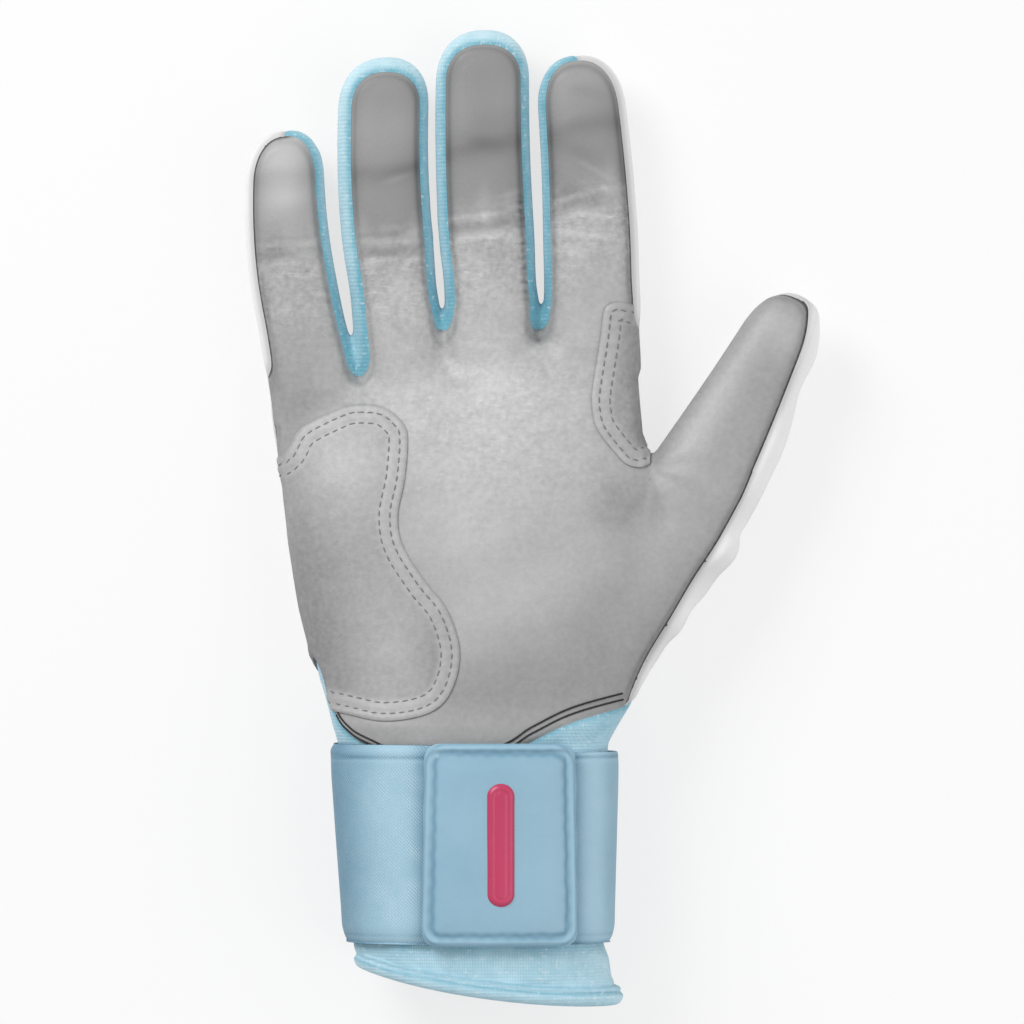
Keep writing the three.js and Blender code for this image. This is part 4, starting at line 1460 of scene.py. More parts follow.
@dataclass(frozen=True)
class MouldedFinish:
    """A smooth moulded sheet or rubber with a faint skin texture."""

    name: str
    pale: Colour
    deep: Colour
    roughness: float = 0.42
    relief: float = 0.00006

    def build(self) -> Material:
        """Makes the material.

        Returns:
            The material.
        """
        bench = Bench(self.name)
        fine = bench.noise(1500.0, 3.0)
        cloud = bench.noise(60.0, 4.0)
        # The stored tone is painted shade that blends towards the deep colour
        share = bench.stored() + (cloud - 0.5) * 0.35 + (fine - 0.5) * 0.14
        rough = self.roughness + (cloud - 0.5) * 0.14
        return bench.finish(bench.blend(self.deep, self.pale, share), rough, fine, self.relief, 0.55)


@dataclass(frozen=True)
class ThreadFinish:
    """Twisted sewing thread."""

    name: str
    colour: Colour

    def build(self) -> Material:
        """Makes the material."""
        bench = Bench(self.name)
        ply = ((bench.axis("X") + bench.axis("Y")) * 9000.0).sin() * 0.5 + 0.5
        return bench.finish(bench.shade(self.colour, 0.8 + ply * 0.3), 0.6, ply, 0.00008, 0.6)


@dataclass(frozen=True)
class PileFinish:
    """The nylon pile of a hook-and-loop fastener."""

    name: str
    colour: Colour

    def build(self) -> Material:
        """Makes the material."""
        bench = Bench(self.name)
        pile = bench.noise(2600.0, 4.0)
        return bench.finish(bench.shade(self.colour, 0.75 + pile * 0.4), 0.9, pile, 0.0004, 0.9, 0.2)


Wardrobe = dict[str, Material]
# For the white leather, the knits, the elastic and the tab, the pale and the deep colour are the lit and the
# shaded look of one material, blended by painted shade
FINISHES = (
    LeatherFinish("palm_leather", linear(188, 188, 188)),
    LeatherFinish("patch_leather", linear(188, 188, 188), 0.52),
    PlainLeatherFinish("white_leather", linear(246, 245, 245), linear(150, 148, 148)),
    KnitFinish("stretch_mesh", linear(196, 226, 236), linear(108, 172, 191)),
    KnitFinish("cuff_knit", linear(190, 224, 238), linear(112, 172, 192), 1.4),
    ElasticFinish("strap_elastic", linear(166, 203, 221), linear(94, 138, 162)),
    MouldedFinish("tab_sheet", linear(156, 193, 212), linear(98, 142, 166)),
    MouldedFinish("accent_rubber", linear(196, 62, 100), linear(120, 20, 56), 0.36),
    ThreadFinish("black_thread", linear(26, 26, 28)),
    ThreadFinish("grey_thread", linear(128, 128, 130)),
    PileFinish("fastener_pile", linear(206, 216, 222)),
)


def dress(piece: Piece, material: Material, body: str = "", nodes: Sequence[str] = (),
          tone: Level | None = None, worn: Level | None = None) -> None:
    """Finishes a piece: its tones, its material, its body and the nodes that it stands for.

    Args:
        piece: the piece.
        material: its material.
        body: the body that it rides on, if any.
        nodes: the nodes that it stands for.
        tone: the painted light and shade of any places.
        worn: their wear and painted highlight.
    """
    for name, values in (("tone", tone), ("worn", worn)):
        if values is not None:
            set_tone(piece, values, name)
    piece.data.materials.clear()
    piece.data.materials.append(material)
    if body:
        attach(piece, body)
    if nodes:
        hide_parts(*nodes)
    LOG.info("%s: %d vertices, %s", piece.name, len(piece.data.vertices), material.name)


def flat_tone(places: Array) -> Array:
    """An even tone."""
    return np.ones(len(places))


@dataclass(frozen=True)
class Blot:
    """A soft patch of painted light or painted shade on the palm, or a soft bump: its middle, its radii and
    its strength.
    """

    x: float
    y: float
    across: float
    up: float
    amount: float
    turn: float = 0.0

    def at(self, places: Array) -> Array:
        """How much of it falls on each place.

        Args:
            places: places on the glove.

        Returns:
            One amount for each place.
        """
        dx, dy = places[:, 0] - self.x, places[:, 1] - self.y
        cos, sin = math.cos(self.turn), math.sin(self.turn)
        return self.amount * bell(np.hypot((dx * cos + dy * sin) / self.across,
                                           (dy * cos - dx * sin) / self.up), 1.0)


# Painted light and shade on the palm leather: pools of light and patches of shade
PALM_LIGHT_AND_SHADE = tuple(Blot(*row) for row in (
    (8, 84, 34, 26, 0.24), (-2, 56, 16, 18, 0.14), (22, 44, 42, 9, 0.15, 0.45),
    (38, 36, 16, 22, -0.10), (20, 16, 26, 13, -0.16), (-47, 92, 9, 22, -0.16),
    (44, 60, 10, 16, -0.12), (64, 88, 5, 22, 0.12, -0.5),
    (74, 92, 6, 26, -0.07, -0.5), (50, 52, 5, 20, 0.10, -0.5),
    (-20, 98, 7, 12, 0.10), (4, 100, 8, 10, 0.10), (38, 62, 7, 7, -0.14),
    (-51, 152, 7, 12, 0.30), (84, 110, 6, 6, 0.16), (-36, 118, 3, 10, 0.08),
    (-2, 128, 7, 9, 0.06), (24, 132, 8, 14, 0.06), (-6, 12, 22, 9, -0.10),
    (3, 168, 9, 9, -0.10), (56, 64, 12, 12, -0.08),
))
# Single wrinkles and hollows pressed into the fingers' leather; in the tone they also paint light on the
# ridges and shade in the hollows
WRINKLES = tuple(Blot(*row) for row in (
    (-20.4, 134.0, 7.0, 0.9, 0.17, 0.08), (-22.0, 131.2, 8.0, 0.8, -0.13, 0.04),
    (-15.8, 137.1, 3.0, 1.4, 0.12, 0.5), (-20.4, 151.6, 4.0, 0.8, 0.10, 0.35),
    (-18.5, 154.0, 5.0, 1.6, -0.07, 0.3), (-22.5, 138.3, 3.5, 0.7, 0.09, 0.05),
    (0.8, 141.4, 5.5, 0.8, 0.16, 0.03), (2.8, 138.7, 8.0, 1.3, -0.12, 0.05),
    (3.9, 135.6, 8.0, 0.9, 0.15, 0.1), (10.0, 147.4, 3.6, 0.8, 0.12, 0.25),
    (8.2, 144.8, 3.8, 0.7, 0.09, 0.2), (1.8, 161.4, 6.5, 2.0, -0.09, -0.12),
    (2.0, 132.4, 6.0, 0.9, -0.07, 0.08), (30.7, 136.1, 7.5, 0.9, 0.18, -0.12),
    (31.7, 141.7, 6.0, 0.8, 0.14, -0.1), (28.6, 146.4, 5.0, 2.4, -0.09, -0.3),
    (33.3, 153.6, 5.0, 0.8, 0.12, -0.5), (35.2, 149.0, 4.0, 0.7, 0.09, -0.6),
    (27.6, 158.8, 6.0, 2.6, -0.09, -0.3), (29.7, 175.3, 6.0, 2.0, -0.07, -0.2),
    (-54.0, 133.0, 4.0, 6.0, -0.09), (-50.4, 145.9, 5.0, 2.4, 0.10, 0.2),
    (-50.9, 117.5, 5.0, 5.0, 0.07), (-18.0, 119.5, 6.0, 7.0, 0.08), (6.0, 121.0, 7.0, 6.0, 0.07),
))
# Painted light and shade on the heel patch: lighter high up, darker to the sides and towards the wrist
HEEL_LIGHT_AND_SHADE = tuple(Blot(*row) for row in (
    (-34, 72, 13, 16, 0.24), (-22, 30, 10, 16, 0.10), (-44, 38, 10, 34, -0.14),
    (-34, 20, 14, 12, -0.08), (-6, 22, 7, 14, -0.20),
))


def seam_line(level: Array, outer: Array) -> Array:
    """The dark line along the leather's cut edge, black and wider on the outer seams, with a painted
    highlight as its pale rim and painted shade a little further in.

    Args:
        level: distances inside the leather.
        outer: 1 on the outer seams, 0 on others.

    Returns:
        What it adds to the tone.
    """
    thin = 0.34 * np.clip(1 - level / 0.28, 0, 1)
    black = 0.74 * np.clip((0.87 - level) / 0.5, 0, 1)
    # Painted highlight: the pale rim beside the line
    rim = 0.09 * bell(level - 0.7, 0.35) * (1 - outer)
    # Painted shade just inside the rim
    return rim - thin - (black - thin) * outer - 0.12 * bell(level - 1.2, 0.8)


def leather_tone(places: Array) -> Array:
    """Painted light and shade on the hide: painted light in the palm, painted shade at the tips, the heel,
    the finger edges, the creases and beside each seam, with painted highlights on crease ridges; only the
    dark seam lines are the hide's own.

    Args:
        places: places on the glove.

    Returns:
        One tone for each place.
    """
    # Painted shade in the middle finger's gathers, then painted light and shade from the palm's patches and
    # the wrinkles
    tone = np.full(len(places), 0.74) - puckers(places)
    for blot in (*PALM_LIGHT_AND_SHADE, *WRINKLES):
        tone += blot.at(places)
    for i, digit in enumerate(DIGITS):
        s, o = digit.local(places)
        away, inside = fold_line(digit, i, places)
        if digit is not THUMB:
            # Painted shade past the crease towards the tip, along the finger's edges and in the second
            # crease, and a painted highlight near the tip
            ragged = 2.5 * np.sin(0.31 * places[:, 0] + 2 * i) + 1.5 * np.sin(0.9 * places[:, 0] + i)
            deep = 0.14 if i == 0 else 0.27
            tone += inside * (0.06 - deep * ease((away + 5 + ragged) / 16))
            tone -= inside * 0.13 * bell((np.abs(o) - digit.half_width(s) + 1.5), 3.4)
            tone -= inside * 0.10 * bell(away - 21, 3.0)
            tone += inside * 0.09 * bell(away - 33, 7.0)
        # Painted shade in each crease's hollow and painted highlights on its ridges
        strength = 0.10 if digit is THUMB else 1.0
        patchy = 0.6 + 0.4 * np.sin(0.45 * places[:, 0] + 1.7 * i)
        tone -= inside * 0.12 * strength * bell(away, 1.8) * patchy
        tone += inside * 0.07 * strength * (bell(away - 2.8, 1.0) * (1.3 - patchy)
                                            + bell(away + 2.8, 1.1) * patchy)
    level = CUT.front(places)
    # Painted shade where the leather turns away at the thumb's side seam
    thumb = ease((places[:, 0] - 38) / 6)
    tone -= thumb * 0.14 * bell(level, 4.0)
    outer = np.maximum(thumb, ease((-48 - places[:, 0]) / 3) * (places[:, 1] > 60))
    tone += seam_line(level, outer)
    return np.clip(tone, 0.06, 1.25)


def puckers(places: Array) -> Array:
    """The gathers along the middle finger's seam on the index side, from 0 to 1.

    Args:
        places: places on the glove.

    Returns:
        One depth for each place.
    """
    digit = DIGITS[2]
    s, o = digit.local(places)
    off = digit.half_width(s) - digit.seam_right - o
    along = ease((s + 2) / 4) * (1 - ease((s - 25) / 6))
    ridge = 0.5 + 0.5 * np.sin(2.9 * s + 0.8 * np.sin(0.9 * s))
    return 0.22 * ridge**2 * along * bell(off - 0.6, 2.0) * (off > -0.2)


def leather_wear_and_highlight(places: Array) -> Array:
    """How much fine, pale wrinkling the hide shows: partly wear, partly painted highlight on the lit palm and
    the crease ridges.

    Args:
        places: places on the glove.

    Returns:
        One share, 0 to 1, for each place.
    """
    worn = np.full(len(places), 0.25)
    # Painted highlight in the lit middle of the palm
    worn += 0.55 * bell(np.hypot((places[:, 0] - 4) / 1.5, places[:, 1] - 88), 26.0)
    for i, digit in enumerate(DIGITS):
        away, inside = fold_line(digit, i, places)
        inside = inside & (digit is not THUMB)
        patchy = 0.65 + 0.35 * np.sin(0.5 * places[:, 0] + 2.3 * i)
        # Painted highlights on the ridges either side of each crease
        worn += inside * (0.5 * bell(away - 2.6, 1.8) * (1.3 - patchy) + 0.7 * bell(away + 3.6, 2.6) * patchy)
        worn += inside * 0.55 * bell(away + 12, 9)
        worn -= inside * 0.3 * ease((away - 3) / 14)
    return np.clip(worn, 0.0, 1.0)


def gusset_tone(places: Array) -> Array:
    """The knit's painted shade: deeper blue beside its seams and down in the crotches, where shade falls."""
    deep = 0.85 * bell(np.minimum(CUT.front(places), 0), 1.3) + 0.5 * bell(CUT.gusset(places), 1.2)
    low = 0.35 * ease((132 - places[:, 1]) / 14)
    return np.clip(0.95 - deep - low, 0.0, 1.0)


def white_tone(places: Array) -> Array:
    """The white panels' painted shade: greyer beside their seams and in the folds by the thumb.

    Args:
        places: places on the glove.

    Returns:
        One tone for each place.
    """
    slack = 0.5 + 0.5 * np.sin(0.26 * places[:, 1] + 2.2 + 0.1 * places[:, 0])
    outer = ease((places[:, 0] - 36) / 8) * ease((74 - places[:, 1]) / 20)
    grey = 0.5 * bell(CUT.front(places), 1.1) + 0.25 * bell(CUT.gusset(places), 0.9)
    return np.clip(0.97 - grey - 0.18 * outer * slack, 0.0, 1.0)


def cuff_tone(places: Array) -> Array:
    """The cuff's painted shade: deeper under the hem, under the strap's lower edge and towards its top, with
    painted shade in its slack folds.
    """
    slack = 0.5 + 0.5 * np.sin(places[:, 0] * 0.33 + places[:, 2] * 0.21)
    deep = 0.5 * bell(HAND.hem(places), 1.3) + 0.45 * bell(places[:, 1] + 54.5, 2.2) + 0.15 * slack
    return np.clip(0.9 - deep - 0.25 * ease((places[:, 1] + 3) / 8), 0, 1)


# Sub-assemblies

@dataclass(frozen=True)
class PanelLook:
    """What a sewn panel is made of: its wall in millimetres, its material's name and its tone, which paints
    its light and shade.
    """

    wall: float
    material: str
    tone: Level


LOOKS = {
    Region.LEATHER: PanelLook(0.9, "palm_leather", leather_tone),
    Region.BACK: PanelLook(0.9, "white_leather", white_tone),
    Region.INSERT: PanelLook(0.8, "stretch_mesh", flat_tone),
    Region.GUSSET: PanelLook(0.8, "stretch_mesh", gusset_tone),
    Region.CUFF: PanelLook(1.2, "cuff_knit", cuff_tone),
}


@dataclass
class SewnWork:
    """What every sub-assembly that is cut from the skin or sewn on it needs."""

    skin: Skin
    wardrobe: Wardrobe


@dataclass
class HandShell(SewnWork):
    """Everything on the hand that doesn't move: leather, back, insert, crotches and cuff."""

    def build(self) -> None:
        """Makes and dresses the panels; the cuff is open at its mouth."""
        region, _, stretch = self.skin.regions.T
        still = (stretch == Stretch.HAND.value) & (HAND.mouth(self.skin.centres) > 0)
        crotches = ("fourchette_pinky_ring", "fourchette_ring_middle", "fourchette_middle_index")
        for name, part, nodes in (
            ("palm_leather", Region.LEATHER, ("palm_panel",)),
            ("hand_back", Region.BACK, ("back_of_hand",)),
            ("knuckle_knit", Region.INSERT, ("knuckle_insert",)),
            ("crotch_gussets", Region.GUSSET, crotches),
            ("knit_cuff", Region.CUFF, ("cuff",)),
        ):
            look = LOOKS[part]
            piece = self.skin.panel(name, (region == part.value) & still, look.wall)
            dress(piece, self.wardrobe[look.material], "hand", nodes, look.tone, leather_wear_and_highlight)


@dataclass
class DigitShells(SewnWork):
    """The panels of the digits, each split between its two bends."""

    # Shares of the crease's distance that give the upper panels' start and end lines
    upper_bend: Span = (0.62, 1.38)

    def build(self) -> None:
        """Makes and dresses the panels of every digit."""
        region, owner, stretch = self.skin.regions.T
        for i, digit in enumerate(DIGITS):
            for part in (Region.LEATHER, Region.GUSSET, Region.BACK):
                for half in (Stretch.LOWER, Stretch.UPPER):
                    pick = (region == part.value) & (owner == i) & (stretch == half.value)
                    if pick.any():
                        self.piece(digit, part, half, pick)

    def piece(self, digit: Digit, part: Region, half: Stretch, pick: Array) -> None:
        """Makes and dresses one panel of one digit, and bakes its transform into its mesh.

        Args:
            digit: the digit.
            part: which of its panels.
            half: before or past its crease.
            pick: true for each face that it takes.
        """
        word = {Region.LEATHER: "front", Region.GUSSET: "gusset", Region.BACK: "back"}[part]
        look = LOOKS[part]
        base, tip = f"{digit.name}_base", f"{digit.name}_tip"
        if half is Stretch.LOWER:
            place, node, parent, child = "lower", base, "hand", base
            start, end = -digit.bend_lead, digit.crease / 2
        else:
            place, node, parent, child = "upper", tip, base, tip
            start, end = (digit.crease * share for share in self.upper_bend)
        nodes = [f"{node}_{word}"]
        if nodes[0] not in frame["nodes"]:
            nodes = [f"{nodes[0]}_left", f"{nodes[0]}_right"]
        piece = self.skin.panel(f"{digit.name}_{place}_{word}", pick, look.wall)
        dress(piece, self.wardrobe[look.material], "", nodes, look.tone, leather_wear_and_highlight)
        self.on_line(digit, start)
        self.on_line(digit, end)
        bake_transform(piece)

    def on_line(self, digit: Digit, s: float) -> tuple[float, ...]:
        """A place on the line that a digit bends along, square to its joints' axis."""
        direction = digit.along if digit is THUMB else np.array([0.0, 1.0])
        plan = np.array([digit.across, digit.up]) + direction * s
        return tuple(float(c) for c in metres(np.array([plan[0], plan[1], digit.root_middle])))


@dataclass
class SewnPatches(SewnWork):
    """The heel patch and the index-side patch, with their two rows of stitches."""

    lift: float = 0.95
    wall: float = 0.7
    rows: Span = (2.1, 5.0)
    stitch: float = 1.8
    pitch: float = 2.5
    crown: float = 0.25
    crown_rise: float = 10.0
    edge_drop: float = 0.5
    groove: float = 0.16
    # How far it still stands out at the leather's outer seams, and over which width it gets there
    settled: float = 0.22
    settling: float = 3.5
    # No stitch stands where the surface is steeper than this
    steepest: float = 0.25

    def build(self) -> None:
        """Makes both patches."""
        self.patch("heel_pad", "heel_patch", CUT.heel)
        self.patch("index_pad", "index_patch", CUT.index)

    def patch(self, name: str, node: str, outline: Array) -> None:
        """Lays one patch on the palm and stitches it down.

        Args:
            name: the piece's name.
            node: the frame's part.
            outline: the patch's outline in plan.
        """
        region, owner, stretch = self.skin.regions.T
        level = inside_distance(self.skin.centres, outline)
        near = (owner == -1) | ((owner >= 3) & (stretch == Stretch.LOWER.value))
        near &= self.skin.centres[:, 0] < PATCH_END
        bm = self.skin.cut_out((level > 0) & (region == Region.LEATHER.value) & near)
        bm.normal_update()
        places = glove_places(bm)
        inset = inside_distance(places, outline)
        crown = self.crown * ease((inset - self.rows[1] - 1) / self.crown_rise)
        edge = -self.edge_drop * bell(inset, 0.4)
        groove = -self.groove * sum(bell(inset - row, 0.45) for row in self.rows)
        pillow = 0.12 * bell(inset - sum(self.rows) / 2, 0.9)
        settle = ease(CUT.front(places) / self.settling)
        lift = (self.lift + crown + edge + groove + pillow) * settle + self.settled * (1 - settle)
        for vert, amount in zip(bm.verts, lift * MM):
            vert.co += vert.normal * float(amount)
        tree = BVHTree.FromBMesh(bm)
        piece = new_object(name, bm)
        give_wall(piece, self.wall)
        dress(piece, self.wardrobe["patch_leather"], "hand", (node,),
              partial(self.tone, outline=outline), self.worn)
        self.stitches(name + "_stitches", tree, outline)

    def worn(self, places: Array) -> Array:
        """How much fine wrinkling, partly wear and partly painted highlight, a patch shows."""
        return leather_wear_and_highlight(places) * 0.5 + 0.25

    def tone(self, places: Array, outline: Array) -> Array:
        """The patch's painted light and shade: a painted highlight on the band between edge and stitches,
        painted shade towards the wrist.

        Args:
            places: places on the glove.
            outline: the patch's outline in plan.

        Returns:
            One tone for each place.
        """
        inset = inside_distance(places, outline)
        inner = self.rows[1] + 0.8
        band = 1 - ease((inset - inner + 0.6) / 1.2)
        tone = 0.67 + 0.14 * band
        for blot in HEEL_LIGHT_AND_SHADE:
            tone += blot.at(places) * (1 - 0.5 * band)
        side = bell(CUT.front(places), 4.5)
        # Painted shade at the patch's edge and near the leather's outer seams, with a painted highlight just
        # inside the edge
        return tone - 0.10 * bell(inset, 0.3) + 0.06 * bell(inset - 1.0, 0.5) - 0.14 * side

    def stitches(self, name: str, tree: BVHTree, outline: Array) -> None:
        """Sets stitches along both rows, on the surface of the patch.

        Args:
            name: the piece's name.
            tree: the surface that it lies on.
            outline: the patch's outline in plan.
        """
        bm = bmesh.new()
        for row in self.rows:
            for place, heading in spaced(offset_line(outline, row), self.pitch):
                hit, normal = drop(tree, place)
                if hit is not None and normal.z > self.steepest:
                    add_stitch(bm, hit, normal, heading, self.stitch)
        piece = new_object(name, bm)
        dress(piece, self.wardrobe["grey_thread"], "hand")


def offset_line(outline: Array, inset: float) -> Array:
    """A line inside an outline, at a distance from it.

    Args:
        outline: the outline's corners in plan.
        inset: the distance.

    Returns:
        The line's points in plan.
    """
    ahead = np.roll(outline, -1, axis=0) - np.roll(outline, 1, axis=0)
    ahead /= np.maximum(np.linalg.norm(ahead, axis=1, keepdims=True), 1e-9)
    side = np.stack([ahead[:, 1], -ahead[:, 0]], axis=1) * inset
    line = outline + side
    if inside_distance(line, outline).mean() < 0:
        line = outline - side
    return line[inside_distance(line, outline) > inset * 0.9]


def spaced(line: Array, pitch: float) -> Iterable[tuple[Array, Array]]:
    """Places a fixed distance apart along a line, each with the line's direction there.

    Args:
        line: the line's points in plan.
        pitch: the distance between places.

    Returns:
        Each place and the direction there.
    """
    steps = np.linalg.norm(np.diff(line, axis=0), axis=1)
    run = np.concatenate([[0.0], np.cumsum(steps)])
    for at in np.arange(pitch / 2, run[-1], pitch):
        here = np.array([np.interp(at, run, line[:, axis]) for axis in range(line.shape[1])])
        ahead = np.array([np.interp(at + 0.3, run, line[:, axis]) for axis in range(line.shape[1])])
        heading = ahead - here
        size = np.linalg.norm(heading)
        if size > 1e-6:
            yield here, heading / size


def drop(tree: BVHTree, place: Array) -> tuple[Vector | None, Vector | None]:
    """Finds a surface straight below a place in plan."""
    above = Vector(metres(np.array([place[0], place[1], 80.0])))
    hit, normal, _, _ = tree.ray_cast(above, Vector((0, 0, -1)))
    return hit, normal


def add_stitch(bm: Mesh, at: Vector, normal: Vector, heading: Array, length: float) -> None:
    """Adds one stitch, sunk a little in the surface.

    Args:
        bm: the mesh that it is added to.
        at: its middle, in metres.
        normal: the surface's normal there.
        heading: its direction in plan.
        length: its length in millimetres.
    """
    ahead = Vector((heading[0], heading[1], 0.0))
    ahead = (ahead - normal * ahead.dot(normal)).normalized()
    side = normal.cross(ahead)
    turn = Matrix((ahead, side, normal)).transposed().to_4x4()
    size = Matrix.Diagonal((length / 2 * MM, STITCH_HALF[0] * MM, STITCH_HALF[1] * MM, 1.0))
    where = Matrix.Translation(at + normal * STITCH_RISE * MM)
    bmesh.ops.create_uvsphere(bm, u_segments=6, v_segments=4, radius=1.0, matrix=where @ turn @ size)


@dataclass
class SeamThreads(SewnWork):
    """The two rows of black thread along the hem of the palm leather."""

    radius: float = 0.28
    left_rows: Span = (1.0, 2.2)
    right_rows: Span = (2.3, 4.0)
    ends: Span = (-37.0, 41.4)
    steepest: float = 0.12

    def build(self) -> None:
        """Makes both rows."""
        tree = BVHTree.FromBMesh(self.skin.mesh)
        bm = bmesh.new()
        curve = spline(HAND.plan(HAND.hem_shares), 12)
        for left, right in zip(self.left_rows, self.right_rows):
            line = curve[(curve[:, 0] > self.ends[0]) & (curve[:, 0] < self.ends[1])]
            rise = left + (right - left) * ease(line[:, 0] / 16)
            line = line + np.stack([rise * 0, rise], axis=1)
            self.run(bm, tree, line)
        piece = new_object("hem_stitching", bm)
        dress(piece, self.wardrobe["black_thread"], "hand")

    def run(self, bm: Mesh, tree: BVHTree, line: Array) -> None:
        """Lays a thin cord of thread on the surface along a line in plan.

        Args:
            bm: the mesh that it is added to.
            tree: the surface that it lies on.
            line: its points in plan.
        """
        points = []
        for place, _ in spaced(line, 0.9):
            hit, normal = drop(tree, place)
            if hit is not None and normal.z > self.steepest:
                points.append(hit + normal * self.radius * 0.5 * MM)
        add_cord(bm, points, self.radius)


def add_cord(bm: Mesh, points: Sequence[Vector], radius: float, sides: int = 6) -> None:
    """Sweeps a small round section along points and closes its ends.

    Args:
        bm: the mesh that it is added to.
        points: its middle line, in metres.
        radius: its radius in millimetres.
        sides: the sides of its section.
    """
    if len(points) < 2:
        return
    rings = []
    for i, point in enumerate(points):
        ahead = (points[min(i + 1, len(points) - 1)] - points[max(i - 1, 0)]).normalized()
        turn = ahead.to_track_quat("Z", "Y").to_matrix().to_4x4()
        made = bmesh.ops.create_circle(bm, cap_ends=False, segments=sides, radius=radius * MM,
                                       matrix=Matrix.Translation(point) @ turn)["verts"]
        rings.append(list(dict.fromkeys(edge for vert in made for edge in vert.link_edges)))
    for a, b in zip(rings, rings[1:]):
        bmesh.ops.bridge_loops(bm, edges=[*a, *b])
    for ring in (rings[0], rings[-1]):
        bmesh.ops.holes_fill(bm, edges=ring, sides=0)
    bmesh.ops.recalc_face_normals(bm, faces=bm.faces)


def rounded_pad(u: Array, v: Array, half_x: float, half_y: float,
                corner: float) -> tuple[Array, Array, Array]:
    """Lays a grid out as a rectangle with rounded corners.

    Args:
        u: share across it.
        v: share up it.
        half_x: half its width.
        half_y: half its height.
        corner: its corners' radius.

    Returns:
        Distances from its middle, across and up, and how far inside its edge each place is.
    """
    x, y = (u * 2 - 1) * half_x, (v * 2 - 1) * half_y
    cx = np.sign(x) * np.maximum(np.abs(x) - (half_x - corner), 0)
    cy = np.sign(y) * np.maximum(np.abs(y) - (half_y - corner), 0)
    reach = np.maximum(np.maximum(np.abs(cx), np.abs(cy)), 1e-9)
    pull = reach / np.maximum(np.hypot(cx, cy), 1e-9)
    x, y = x - cx + cx * pull, y - cy + cy * pull
    inset = np.minimum(half_x - np.abs(x), half_y - np.abs(y))
    rounded = corner - np.hypot(cx, cy) * pull
    return x, y, np.where((cx != 0) & (cy != 0), rounded, inset)


